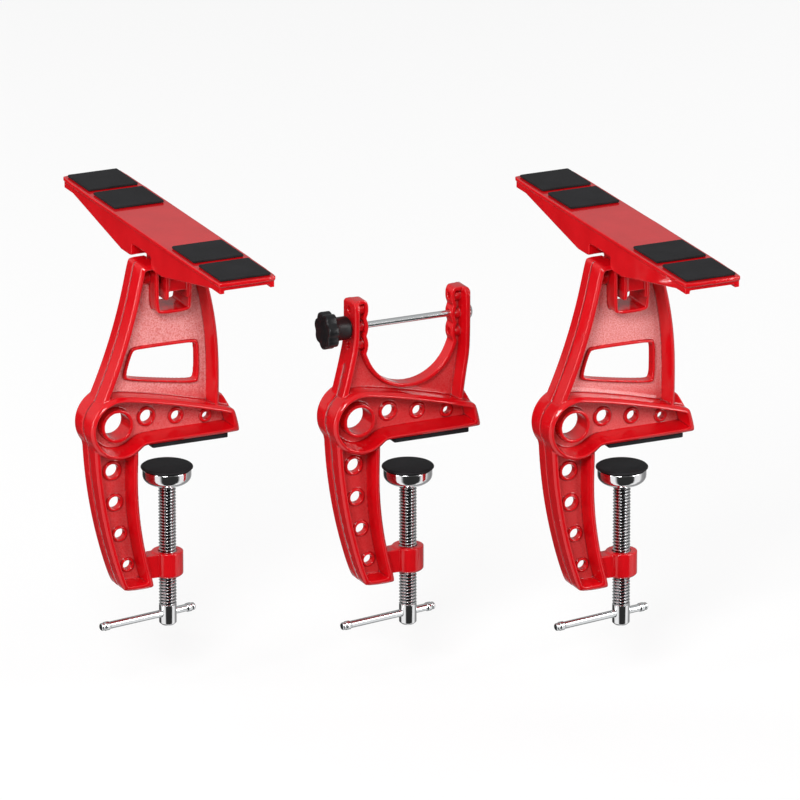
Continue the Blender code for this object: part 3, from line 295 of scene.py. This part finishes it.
def textured(tree, scale, detail, stretch=(1.0, 1.0, 1.0)):
    """A noise in real metres, drawn out along an axis where stretch is small."""
    place = added(tree, "ShaderNodeTexCoord")
    mapping = added(tree, "ShaderNodeMapping", Scale=stretch)
    noise = added(tree, "ShaderNodeTexNoise", Scale=scale, Detail=detail, Roughness=0.55)
    tree.links.new(place.outputs["Object"], mapping.inputs["Vector"])
    tree.links.new(mapping.outputs["Vector"], noise.inputs["Vector"])
    return noise.outputs["Fac"]


def bump(tree, height, distance, under=None):
    made = added(tree, "ShaderNodeBump", Strength=1.0, Distance=distance)
    tree.links.new(height, made.inputs["Height"])
    if under is not None:
        tree.links.new(under, made.inputs["Normal"])
    return made.outputs["Normal"]


def new_material(name, colour, roughness, metallic=0.0):
    skin = bpy.data.materials.new(name)
    skin.use_nodes = True
    shader = skin.node_tree.nodes["Principled BSDF"]
    shader.inputs["Base Color"].default_value = (*colour, 1.0)
    shader.inputs["Roughness"].default_value = roughness
    shader.inputs["Metallic"].default_value = metallic
    skin.diffuse_color = (*colour, 1.0)
    return skin, skin.node_tree, shader


def red_enamel():
    """Glossy enamel over a cast skin: smooth on the walls, grainy on the webs' floors with a painted
    sheen there, painted shade in the inner corners and the groove, and a painted highlight on the
    outer edges.
    """
    skin, tree, shader = new_material("red_enamel_skin", ENAMEL, ENAMEL_ROUGHNESS)
    shader.inputs["Specular IOR Level"].default_value = 0.10
    shader.inputs["Coat Weight"].default_value = 0.90
    shader.inputs["Coat Roughness"].default_value = 0.06
    web = attribute(tree, "web")
    grain = textured(tree, 820.0, 3.0)
    tint = ramp(tree, textured(tree, 35.0, 3.0), [(0.3, ENAMEL_DARK), (0.7, ENAMEL_LIGHT)])
    sheen_colour = ramp(tree, grain, [(0.34, PAINTED_SHEEN_DARK), (0.64, PAINTED_SHEEN_LIGHT)])
    # Painted sheen on the webs' floors, in place of the lamps' reflection
    colour = mixed(tree, attribute(tree, "painted_sheen"), tint, sheen_colour)
    # Painted shade in the inner corners and the groove, and a painted highlight on the outer edges
    for name, over in (("corner_shade", CORNER_SHADE_COLOUR), ("groove", GROOVE_SHADE_COLOUR), ("edge", EDGE_HIGHLIGHT_COLOUR)):
        colour = mixed(tree, attribute(tree, name), colour, over)
    tree.links.new(colour, shader.inputs["Base Color"])
    peel = bump(tree, textured(tree, 260.0, 1.0), 0.00004)
    cast = bump(tree, mixed(tree, web, (0.5, 0.5, 0.5), grain), 0.00028, peel)
    tree.links.new(cast, shader.inputs["Normal"])
    rough = mixed(tree, web, (ENAMEL_ROUGHNESS,) * 3, (WEB_ROUGHNESS,) * 3)
    tree.links.new(rough, shader.inputs["Roughness"])
    return skin


def rubber():
    skin, tree, shader = new_material("black_rubber_skin", (0.014, 0.014, 0.015), 0.62)
    shader.inputs["Specular IOR Level"].default_value = 0.15
    cloud = textured(tree, 60.0, 4.0)
    tint = ramp(tree, cloud, [(0.3, (0.010, 0.010, 0.011)), (0.75, (0.021, 0.021, 0.023))])
    tree.links.new(tint, shader.inputs["Base Color"])
    tree.links.new(ramp(tree, cloud, [(0.3, 0.52), (0.75, 0.70)]), shader.inputs["Roughness"])
    tree.links.new(bump(tree, textured(tree, 1500.0, 2.0), 0.00006), shader.inputs["Normal"])
    return skin


def plastic():
    skin, tree, shader = new_material("black_plastic_skin", (0.009, 0.009, 0.010), 0.38)
    shader.inputs["Specular IOR Level"].default_value = 0.30
    cloud = textured(tree, 90.0, 3.0)
    tree.links.new(ramp(tree, cloud, [(0.3, 0.30), (0.75, 0.42)]), shader.inputs["Roughness"])
    tree.links.new(bump(tree, textured(tree, 1300.0, 2.0), 0.00005), shader.inputs["Normal"])
    return skin


def bright_steel(name, stretch, roughness, colour):
    """Plated steel with fine marks that run round the turned piece, with painted shade in a thread's
    roots.
    """
    skin, tree, shader = new_material(name, colour, roughness, 1.0)
    cloud = textured(tree, 120.0, 3.0)
    rough = ramp(tree, cloud, [(0.3, roughness * 0.8), (0.75, roughness * 1.5)])
    tree.links.new(rough, shader.inputs["Roughness"])
    # The steel's own colour, before the painted shade in the thread's roots
    clean = ramp(tree, cloud, [(0.25, tuple(c * 0.90 for c in colour)), (0.7, colour)])
    tint = mixed(tree, attribute(tree, "root_shade"), clean, ROOT_SHADE_COLOUR)
    tree.links.new(tint, shader.inputs["Base Color"])
    marks = textured(tree, 1400.0, 2.0, stretch)
    tree.links.new(bump(tree, marks, 0.000012), shader.inputs["Normal"])
    return skin


RED = red_enamel()
RUBBER = rubber()
PLASTIC = plastic()
UPRIGHT_STEEL = bright_steel("plated_steel_upright", ROUND_Z, 0.10, (0.86, 0.86, 0.87))
LYING_STEEL = bright_steel("plated_steel_lying", ROUND_X, 0.12, (0.75, 0.77, 0.78))
PLAIN_STEEL = bright_steel("plain_steel_skin", ROUND_X_COARSELY, 0.42, (0.10, 0.10, 0.10))


def piece(name, mesh, skin, body, *nodes):
    """Puts a finished mesh on its body, in place of the CAD nodes that it stands for."""
    made = bpy.data.objects.new(name, mesh)
    bpy.context.scene.collection.objects.link(made)
    mesh.materials.clear()
    mesh.materials.append(skin)
    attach(made, body)
    if nodes:
        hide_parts(*nodes)
    return made


def to_mesh(name, verts, faces, sharp=30.0, capped=False):
    """A clean mesh with smooth shading between its sharp edges; capped closes what is still open."""
    mesh = bpy.data.meshes.new(name)
    mesh.from_pydata(verts, [], faces)
    mesh.validate()
    shape = bmesh.new()
    shape.from_mesh(mesh)
    bmesh.ops.remove_doubles(shape, verts=shape.verts, dist=WELD)
    bmesh.ops.dissolve_degenerate(shape, edges=shape.edges, dist=SLIVER)
    if capped:
        bmesh.ops.holes_fill(shape, edges=[e for e in shape.edges if e.is_boundary], sides=0)
    bmesh.ops.recalc_face_normals(shape, faces=shape.faces)
    shape.to_mesh(mesh)
    shape.free()
    mesh.shade_smooth()
    mesh.set_sharp_from_angle(angle=math.radians(sharp))
    return mesh


def modified(mesh, kind, **settings):
    """The mesh with one modifier applied."""
    holder = bpy.data.objects.new("holder", mesh)
    bpy.context.scene.collection.objects.link(holder)
    modifier = holder.modifiers.new("m", kind)
    for key, value in settings.items():
        setattr(modifier, key, value)
    graph = bpy.context.evaluated_depsgraph_get()
    made = bpy.data.meshes.new_from_object(holder.evaluated_get(graph))
    bpy.data.objects.remove(holder)
    return made


def read_vectors(items, field):
    flat = np.zeros(len(items) * 3, np.float32)
    items.foreach_get(field, flat)
    return flat.reshape(-1, 3).astype(float)


def points_of(mesh):
    return read_vectors(mesh.vertices, "co")


def normals_of(mesh):
    return read_vectors(mesh.vertex_normals, "vector")


def mark(mesh, name, values):
    """Writes a number for each point, which the materials read."""
    found = mesh.attributes.get(name) or mesh.attributes.new(name, "FLOAT", "POINT")
    found.data.foreach_set("value", values.astype(np.float32))


def score(mesh, y, top_z):
    """Sinks the fine groove along the middle of the casting's heel, where nothing lies before it, and
    marks it for painted shade.
    """
    points = points_of(mesh)
    normals = normals_of(mesh)
    tree = BVHTree.FromPolygons(points.tolist(), [p.vertices[:] for p in mesh.polygons])
    share = np.clip(1.0 - np.abs(points[:, 1] - y) / GROOVE_HALF, 0.0, 1.0)
    facing = (normals[:, 0] < HEEL_FACING) & (np.abs(normals[:, 1]) < HEEL_SIDEWAYS)
    grooved = (share > 0.0) & facing & (points[:, 2] < top_z)
    moved = points.copy()
    groove_shade = np.zeros(len(points))
    for i in np.flatnonzero(grooved):
        start = Vector(points[i]) + Vector((-0.0004, 0.0, 0.0))
        if tree.ray_cast(start, Vector((-1.0, 0.0, 0.0)))[0] is None:
            moved[i] = points[i] - normals[i] * GROOVE_DEPTH * share[i]
            # Painted shade in the groove
            groove_shade[i] = min(share[i] * GROOVE_SHADE_STRENGTH, 1.0)
    mesh.vertices.foreach_set("co", moved.astype(np.float32).ravel())
    mesh.update()
    mark(mesh, "groove", groove_shade)


def curved(mesh):
    """The CAD node with its shallow facets drawn into curves, between edges that stay as they are."""
    shape = bmesh.new()
    shape.from_mesh(mesh)
    bmesh.ops.remove_doubles(shape, verts=shape.verts, dist=WELD)
    crease = shape.edges.layers.float.new("crease_edge")
    for edge in shape.edges:
        edge[crease] = 1.0 if len(edge.link_faces) != 2 or edge.calc_face_angle() > CREASE else 0.0
    shape.to_mesh(mesh)
    shape.free()
    return modified(mesh, "SUBSURF", levels=2, render_levels=2)


def soft_casting(node, y, steps, groove_top=None):
    """A cast piece from the CAD node: every edge and inner corner rounded as a mould leaves it."""
    voxel, steps = ((VOXEL, steps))
    mesh = curved(frame["nodes"][node].data.copy())
    mesh = modified(mesh, "REMESH", mode="VOXEL", voxel_size=voxel, adaptivity=0.0)
    mesh = modified(mesh, "SMOOTH", factor=0.5, iterations=steps)
    if groove_top is not None:
        score(mesh, y, groove_top)
    mesh = modified(mesh, "DECIMATE", ratio=KEPT_FACES)
    mesh.shade_smooth()
    return mesh


def mark_webs(mesh, y, grain, painted_sheen):
    """Marks the flat floors of the pockets, where the cast grain shows, and their painted sheen in
    place of the lamps' reflection, strongest up on the towers.
    """
    points = points_of(mesh)
    flat = np.clip((np.abs(normals_of(mesh)[:, 1]) - WEB_FLATNESS) / 0.15, 0.0, 1.0)
    near = np.clip((HALF_WEB + WEB_MARGIN - np.abs(points[:, 1] - y)) / WEB_FADE, 0.0, 1.0)
    mark(mesh, "web", flat * near * grain)
    mark(mesh, "painted_sheen", flat * near * np.interp(points[:, 2], WEB_HEIGHTS, painted_sheen))


def mark_edges(mesh):
    """Marks the outer edges, which get a painted highlight, and the inner corners, which get painted
    shade.
    """
    points = points_of(mesh)
    normals = normals_of(mesh)
    pairs = np.zeros(len(mesh.edges) * 2, np.int32)
    mesh.edges.foreach_get("vertices", pairs)
    first, second = pairs.reshape(-1, 2).T
    step = points[second] - points[first]
    bend = ((normals[second] - normals[first]) * step).sum(1) / np.maximum((step ** 2).sum(1), 1e-12)
    total = np.zeros(len(points))
    count = np.zeros(len(points))
    for side in (first, second):
        np.add.at(total, side, bend)
        np.add.at(count, side, 1.0)
    curve = total / np.maximum(count, 1.0)
    # Painted highlight on the outer edges, painted shade in the inner corners
    for name, amount, limits in (("edge", curve, EDGE_HIGHLIGHT_BENDS), ("corner_shade", -curve, CORNER_SHADE_BENDS)):
        start, growth, full = limits
        mark(mesh, name, np.clip((amount - start) / growth, 0.0, 1.0) * full)


def round_row(radius, height, sides):
    angles = [2 * math.pi * k / sides for k in range(sides)]
    return [(radius * math.cos(angle), radius * math.sin(angle), height) for angle in angles]


def band(low, high, sides):
    """The faces between two rows of points, given by the number of each row's first point."""
    return [(low + k, low + (k + 1) % sides, high + (k + 1) % sides, high + k) for k in range(sides)]


def lathe(profile, sides=FINE_SIDES):
    """A closed body of revolution about Z from (radius, height) pairs."""
    verts = [point for radius, height in profile for point in round_row(radius, height, sides)]
    rows = [sides * row for row in range(len(profile))]
    after = rows[1:] + ([rows[0]] if profile[0][0] > 0.0 else [])
    return verts, [face for low, high in zip(rows, after) for face in band(low, high, sides)]


def ring_profile(bore, outer, low, high, chamfer):
    return [(bore, low), (outer - chamfer, low), (outer, low + chamfer),
            (outer, high - chamfer), (outer - chamfer, high), (bore, high)]


def eased(profile, radius, pieces=3):
    """The profile with each of its outer corners rounded, apart from its two ends."""
    points = [Vector(p) for p in profile]
    made = [points[0]]
    for before, here, after in zip(points, points[1:], points[2:]):
        back = before - here
        ahead = after - here
        reach = min(radius, back.length * 0.45, ahead.length * 0.45)
        start = here + back.normalized() * reach
        end = here + ahead.normalized() * reach
        for k in range(pieces + 1):
            t = k / pieces
            made.append(start * (1 - t) ** 2 + here * 2 * t * (1 - t) + end * t ** 2)
    made.append(points[-1])
    return [tuple(p) for p in made]


def placed(made, matrix):
    verts, faces = made
    return [tuple(matrix @ Vector(v)) for v in verts], faces


def together(*parts):
    verts = []
    faces = []
    for some, more in parts:
        first = len(verts)
        verts.extend(some)
        faces.extend(tuple(first + i for i in face) for face in more)
    return verts, faces


def helix(radius, depth, pitch, low, high, sides=FINE_SIDES):
    """A right-hand thread between two heights, whose ends to_mesh caps."""
    per_turn = len(THREAD_SHAPE)
    count = (math.ceil((high - low) / pitch) + 1) * per_turn
    verts = []
    faces = []
    for k in range(sides):
        angle = 2 * math.pi * k / sides
        for j in range(count):
            share, fall = THREAD_SHAPE[j % per_turn]
            z = low + pitch * (j // per_turn + share + k / sides - 1)
            r = radius - fall * depth
            verts.append((r * math.cos(angle), r * math.sin(angle), min(max(z, low), high)))
    for k in range(sides):
        step = 0 if k < sides - 1 else per_turn
        for j in range(count - 1 - step):
            here = k * count + j
            there = (k + 1) % sides * count + j + step
            faces.append((here, there, there + 1, here + 1))
    return verts, faces


def slab(low, high, corner, edge, pieces=5):
    """A plate with round corners and eased upper and lower edges."""
    half = (high - low) / 2
    middle = (high + low) / 2
    levels = ((low.z, edge), (low.z + edge, 0.0), (high.z - edge, 0.0), (high.z, edge))
    verts = []
    for z, shrink in levels:
        r = corner - shrink
        for quarter in range(4):
            cx = middle.x + (half.x - corner) * (1 if quarter in (0, 3) else -1)
            cy = middle.y + (half.y - corner) * (1 if quarter in (0, 1) else -1)
            for k in range(pieces + 1):
                angle = math.pi / 2 * (quarter + k / pieces)
                verts.append((cx + r * math.cos(angle), cy + r * math.sin(angle), z))
    count = 4 * (pieces + 1)
    last = (len(levels) - 1) * count
    faces = [tuple(reversed(range(count)))]
    for row in range(0, last, count):
        faces.extend(band(row, row + count, count))
    faces.append(tuple(range(last, last + count)))
    return verts, faces


def make_castings():
    for unit in UNITS:
        node = unit + "_frame"
        y = middle_of(unit + "_spindle").y
        mesh = soft_casting(node, y, SMOOTH_STEPS, GROOVE_TOP_Z.get(unit, math.inf))
        # Painted sheen on the webs' floors: strong on the end units, faint on the centre one
        if unit in ENDS:
            mark_webs(mesh, y, 1.0, END_PAINTED_SHEEN)
        else:
            mark_webs(mesh, y, SMOOTH_WEB_GRAIN, CENTRE_PAINTED_SHEEN)
        mark_edges(mesh)
        piece(unit + "_casting", mesh, RED, "frames", node)
    for unit in ENDS:
        node = unit + "_platform"
        mesh = soft_casting(node, middle_of(node).y, TABLE_SMOOTH_STEPS)
        # No cast grain and no painted sheen on the tables
        for name in ("web", "painted_sheen"):
            mark(mesh, name, np.zeros(len(mesh.vertices)))
        mark_edges(mesh)
        piece(unit + "_table", mesh, RED, unit + "_table", node)


def make_pad(name, node, body, edges):
    piece(name, to_mesh(name, *slab(*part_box(node), *edges)), RUBBER, body, node)


def make_pads():
    for unit in UNITS:
        make_pad(unit + "_jaw_rubber", unit + "_jaw_pad", "frames", JAW_PAD_EDGES)
    for unit in ENDS:
        for i in range(1, PADS_PER_TABLE + 1):
            make_pad(f"{unit}_rubber_{i}", f"{unit}_pad_{i}", unit + "_table", TABLE_PAD_EDGES)


def make_screw(unit):
    low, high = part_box(unit + "_spindle")
    cup_low, cup_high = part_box(unit + "_swivel_cup")
    axis = Matrix.Translation(((low.x + high.x) / 2, (low.y + high.y) / 2, 0.0))
    head_top = low.z + SCREW_HEAD_HEIGHT
    thread = helix(SCREW_RADIUS, THREAD_DEPTH, THREAD_PITCH, head_top, cup_low.z - THREAD_GAP)
    mesh = to_mesh(unit + "_screw_thread", *placed(thread, axis), capped=True)
    points = points_of(mesh) - np.array(axis.translation)
    fall = (SCREW_RADIUS - np.hypot(points[:, 0], points[:, 1])) / THREAD_DEPTH
    # Painted shade in the thread's roots, darkest at their bottom
    mark(mesh, "root_shade", np.clip(fall * 1.5 - 0.5, 0.0, 1.0))
    piece(unit + "_screw_thread", mesh, UPRIGHT_STEEL, unit + "_screw")
    turn = Matrix.Rotation(BAR_BEARING, 4, "Z") @ ALONG_X
    bar_z = middle_of(unit + "_t_bar").z
    place = Matrix.Translation((axis.translation.x, axis.translation.y, bar_z)) @ turn
    make_screw_head(unit, axis, place, low.z, head_top)
    make_bar(unit, place)
    make_foot(unit, axis, cup_low.z, cup_high.z)


def make_screw_head(unit, axis, bar_place, low, high):
    """The smooth end of the screw, with the hole that the turning bar runs through."""
    profile = [(0.0, low), (SCREW_RADIUS - SCREW_CHAMFER, low), (SCREW_RADIUS, low + SCREW_CHAMFER),
               (SCREW_RADIUS, high), (0.0, high)]
    head = to_mesh(unit + "_screw_head", *placed(lathe(eased(profile, 0.0005)), axis))
    reach = BAR_BORE_HALF
    bore = [(0.0, -reach), (BAR_BORE, -reach), (BAR_BORE, reach), (0.0, reach)]
    hole = to_mesh("cutter", *placed(lathe(bore, BAR_SIDES), bar_place))
    cutter = bpy.data.objects.new("cutter", hole)
    bpy.context.scene.collection.objects.link(cutter)
    head = modified(head, "BOOLEAN", operation="DIFFERENCE", solver="EXACT", object=cutter)
    bpy.data.objects.remove(cutter)
    head.shade_smooth()
    head.set_sharp_from_angle(angle=math.radians(30))
    piece(unit + "_screw_head", head, UPRIGHT_STEEL, unit + "_screw", unit + "_spindle")


def make_bar(unit, place):
    profile = [(radius, BAR_LEFT + along) for radius, along in BAR_END]
    profile += [(radius, BAR_RIGHT - along) for radius, along in reversed(BAR_END)]
    bar = lathe(eased(profile, 0.0004, 2), BAR_SIDES)
    mesh = to_mesh(unit + "_turning_bar", *placed(bar, place))
    piece(unit + "_turning_bar", mesh, LYING_STEEL, unit + "_bar", unit + "_t_bar")


def make_foot(unit, axis, low, high):
    """The turned cup with its socket, and the rubber disc on it."""
    side = high - CUP_FLANK
    start = CUP_MOUTH + CUP_EASE
    profile = [(radius, high - depth) for radius, depth in CUP_SOCKET]
    profile += [(CUP_NECK, low), (CUP_MOUTH, low)]
    for i in range(CUP_STEPS + 1):
        angle = math.pi / 2 * (1 - i / CUP_STEPS)
        out = (CUP_RIM - start) * math.cos(angle)
        down = (side - low - CUP_FOOT) * math.sin(angle)
        profile.append((start + out, side - down))
    profile += [(CUP_RIM, high - CUP_EASE), (CUP_RIM - CUP_EASE, high), (0.0, high)]
    mesh = to_mesh(unit + "_swivel_foot", *placed(lathe(eased(profile, 0.0003, 2)), axis), 40.0)
    piece(unit + "_swivel_foot", mesh, UPRIGHT_STEEL, unit + "_foot", unit + "_swivel_cup")
    low, high = (corner.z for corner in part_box(unit + "_rubber_disc"))
    profile = [(0.0, low), (DISC_RADIUS - 0.0012, low), (DISC_RADIUS, low + 0.0007),
               (DISC_RADIUS, high - 0.0012), (DISC_RADIUS - 0.0014, high), (0.0, high)]
    mesh = to_mesh(unit + "_foot_rubber", *placed(lathe(eased(profile, 0.0006)), axis))
    piece(unit + "_foot_rubber", mesh, RUBBER, unit + "_foot", unit + "_rubber_disc")


def make_ring(name, node, body, axis, bore, chamfer):
    """A pin, bush or washer that lies along X, as long and as wide as its CAD node."""
    low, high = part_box(node)
    profile = ring_profile(bore, (high.z - low.z) / 2, low.x, high.x, chamfer)
    piece(name, to_mesh(name, *placed(lathe(profile, PIN_SIDES), axis)), PLAIN_STEEL, body, node)


def make_pins():
    for unit in ENDS:
        middle = middle_of(unit + "_pivot_pin")
        axis = Matrix.Translation((0.0, middle.y, middle.z)) @ ALONG_X
        make_ring(unit + "_pin", unit + "_pivot_pin", "frames", axis, 0.0, PIN_CHAMFER)
        make_ring(unit + "_bush", unit + "_spacer_bush", "frames", axis, BUSH_BORE, RING_CHAMFER)


def make_rod():
    low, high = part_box("centre_clamp_rod")
    middle = (low + high) / 2
    axis = Matrix.Translation((0.0, middle.y, middle.z)) @ ALONG_X
    start = low.x + ROD_TIP_LENGTH
    end = ROD_THREAD_END_X
    thread = helix(ROD_RADIUS, ROD_THREAD_DEPTH, ROD_PITCH, start, end, BAR_SIDES)
    mesh = to_mesh("rod_thread", *placed(thread, axis), capped=True)
    piece("rod_thread", mesh, LYING_STEEL, "centre_rod")
    plain = [(0.0, end), (ROD_CORE, end), (ROD_RADIUS, end + ROD_SHOULDER),
             (ROD_RADIUS, high.x), (0.0, high.x)]
    tip = [(0.0, low.x), (ROD_TIP, low.x), (ROD_CORE, start), (0.0, start)]
    mesh = to_mesh("rod", *placed(together(lathe(plain, PIN_SIDES), lathe(tip, PIN_SIDES)), axis))
    piece("rod", mesh, LYING_STEEL, "centre_rod", "centre_clamp_rod")
    make_nut(axis)
    make_ring("knob_washer", "centre_knob_washer", "centre_washer", axis, ROD_BORE, RING_CHAMFER)
    make_knob(axis)


def make_nut(axis):
    """The low domed nut on the rod's right end, hollow for the rod."""
    low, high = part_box("centre_domed_nut")
    r = (high.z - low.z) / 2
    dome = [(0.0, high.x - NUT_WALL), (ROD_BORE, high.x - NUT_WALL), (ROD_BORE, low.x),
            (r - NUT_CHAMFER, low.x), (r, low.x + NUT_CHAMFER)]
    foot = low.x + NUT_WALL
    for i in range(NUT_STEPS + 1):
        angle = math.pi / 2 * i / NUT_STEPS
        dome.append((r * math.cos(angle), foot + (high.x - foot) * math.sin(angle)))
    mesh = to_mesh("rod_head", *placed(lathe(dome), axis), 40.0)
    piece("rod_head", mesh, LYING_STEEL, "centre_rod", "centre_domed_nut")


def make_knob(axis):
    """A star grip with shallow scallops, eased edges, a dished face and a round hub."""
    low, high = (corner.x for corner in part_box("centre_star_knob"))
    back = low + KNOB_GRIP
    rows = [(low + along, inset) for along, inset in KNOB_FACE]
    rows += [(back - along, inset) for along, inset in KNOB_BACK]
    verts = []
    for x, inset in rows:
        for k in range(KNOB_SIDES):
            angle = 2 * math.pi * k / KNOB_SIDES
            dip = KNOB_DIP * (0.5 - 0.5 * math.cos(KNOB_LOBES * angle)) ** KNOB_DIP_POWER
            r = KNOB_RADIUS - dip - inset
            verts.append((r * math.cos(angle), r * math.sin(angle), x))
    hub = ((back + 0.0003, KNOB_HUB + 0.0008), (back + 0.0012, KNOB_HUB), (high - 0.0015, KNOB_HUB),
           (high - 0.0004, KNOB_HUB - 0.0004), (high, KNOB_HUB - 0.0015), (high, ROD_BORE),
           (low + KNOB_BORE_START, ROD_BORE))
    for x, r in hub:
        verts.extend(round_row(r, x, KNOB_SIDES))
    last = len(verts) - KNOB_SIDES
    faces = []
    for row in range(0, last, KNOB_SIDES):
        faces.extend(band(row, row + KNOB_SIDES, KNOB_SIDES))
    faces.append(tuple(reversed(range(KNOB_SIDES))))
    faces.append(tuple(range(last, len(verts))))
    mesh = to_mesh("star_grip", *placed((verts, faces), axis), 50.0)
    piece("star_grip", mesh, PLASTIC, "centre_knob", "centre_star_knob")


def make_camera():
    data = bpy.data.cameras.new("camera")
    data.lens = FOCAL_LENGTH
    data.sensor_width = SENSOR
    data.clip_start = 0.1
    data.clip_end = 100.0
    camera = bpy.data.objects.new("camera", data)
    bpy.context.scene.collection.objects.link(camera)
    distance = FIELD_WIDTH * FOCAL_LENGTH / SENSOR
    turn = Matrix((CAMERA_RIGHT, CAMERA_UP, TO_CAMERA)).transposed().to_4x4()
    place = CAMERA_TARGET + TO_CAMERA.normalized() * distance
    camera.matrix_world = Matrix.Translation(place) @ turn
    bpy.context.scene.camera = camera


def direct_rays(tree, path):
    """One for the rays that come from the camera, a mirror or glass, and nought for the rest."""
    seen = counted(tree, "ADD", path.outputs["Is Camera Ray"], path.outputs["Is Glossy Ray"])
    return counted(tree, "ADD", seen, path.outputs["Is Transmission Ray"], clamp=True)


def make_floor():
    drops = [joint["range_m"][0] for joint in frame["joints"]
             if joint["type"] == "slide" and joint["axis"][2] == 1]
    floor_z = cad_box[0].z + min(drops) - FLOOR_GAP
    bpy.ops.mesh.primitive_plane_add(size=FLOOR_SIZE, location=(0.0, 0.0, floor_z))
    floor = bpy.context.object
    floor.name = "floor"
    skin, tree, shader = new_material("floor_skin", FLOOR_COLOUR, 0.9)
    shader.inputs["Specular IOR Level"].default_value = 0.0
    path = tree.nodes.new("ShaderNodeLightPath")
    colour = mixed(tree, path.outputs["Is Diffuse Ray"], FLOOR_COLOUR, FLOOR_BOUNCE)
    tree.links.new(colour, shader.inputs["Base Color"])
    glow = added(tree, "ShaderNodeEmission", Strength=1.0)
    blend = tree.nodes.new("ShaderNodeMixShader")
    white = counted(tree, "MULTIPLY", direct_rays(tree, path), FLOOR_WHITE)
    tree.links.new(white, blend.inputs["Fac"])
    tree.links.new(shader.outputs["BSDF"], blend.inputs[1])
    tree.links.new(glow.outputs["Emission"], blend.inputs[2])
    tree.links.new(blend.outputs["Shader"], tree.nodes["Material Output"].inputs["Surface"])
    floor.data.materials.append(skin)
    floor.visible_glossy = False


def wall_ramp(tree, turn, stops):
    """Brightness by bearing in degrees, where turn runs from 0 to 1 round the studio."""
    return ramp(tree, turn, [((angle + 180.0) / 360.0, value) for angle, value in stops])


def make_world():
    """White to the camera. The metal shows a studio with white walls and dark gaps between them."""
    world = bpy.data.worlds.new("studio")
    bpy.context.scene.world = world
    world.use_nodes = True
    tree = world.node_tree
    back = tree.nodes["Background"]
    place = tree.nodes.new("ShaderNodeTexCoord").outputs["Generated"]
    split = tree.nodes.new("ShaderNodeSeparateXYZ")
    tree.links.new(place, split.inputs["Vector"])
    across = []
    for aim in (STUDIO_RIGHT, STUDIO_FRONT):
        dot = tree.nodes.new("ShaderNodeVectorMath")
        dot.operation = "DOT_PRODUCT"
        dot.inputs[1].default_value = aim
        tree.links.new(place, dot.inputs[0])
        across.append(dot.outputs["Value"])
    turn = counted(tree, "MULTIPLY_ADD", counted(tree, "ARCTAN2", *across), 0.5 / math.pi, 0.5)
    height = counted(tree, "MULTIPLY_ADD", split.outputs["Z"], 0.5, 0.5)
    above = ramp(tree, height, [(0.47, 0.0), (0.53, 1.0)])
    low, high = (wall_ramp(tree, turn, stops) for stops in (LOW_WALLS, HIGH_WALLS))
    walls = mixed(tree, above, low, high)
    overhead = ramp(tree, split.outputs["Z"], [(0.55, 0.0), (0.85, 1.0)])
    studio = mixed(tree, overhead, walls, CEILING)
    path = tree.nodes.new("ShaderNodeLightPath")
    colour = mixed(tree, path.outputs["Is Camera Ray"], studio, (1.0, 1.0, 1.0))
    tree.links.new(colour, back.inputs["Color"])
    direct = direct_rays(tree, path)
    strength = counted(tree, "MULTIPLY_ADD", direct, 1.0 - WORLD_LIGHT, WORLD_LIGHT)
    tree.links.new(strength, back.inputs["Strength"])


def make_lamps():
    for name, place, width, height, watts in LAMPS:
        data = bpy.data.lights.new(name, "AREA")
        data.shape = "RECTANGLE"
        data.size = width
        data.size_y = height
        data.energy = watts
        lamp = bpy.data.objects.new(name, data)
        lamp.location = place
        lamp.rotation_euler = (-Vector(place)).to_track_quat("-Z", "Y").to_euler()
        lamp.visible_glossy = name not in MATT_LAMPS
        bpy.context.scene.collection.objects.link(lamp)


make_castings()
make_pads()
for unit in UNITS:
    make_screw(unit)
make_pins()
make_rod()
make_camera()
bpy.context.scene.view_settings.view_transform = "Standard"
make_floor()
make_world()
make_lamps()

bpy.context.view_layer.update()
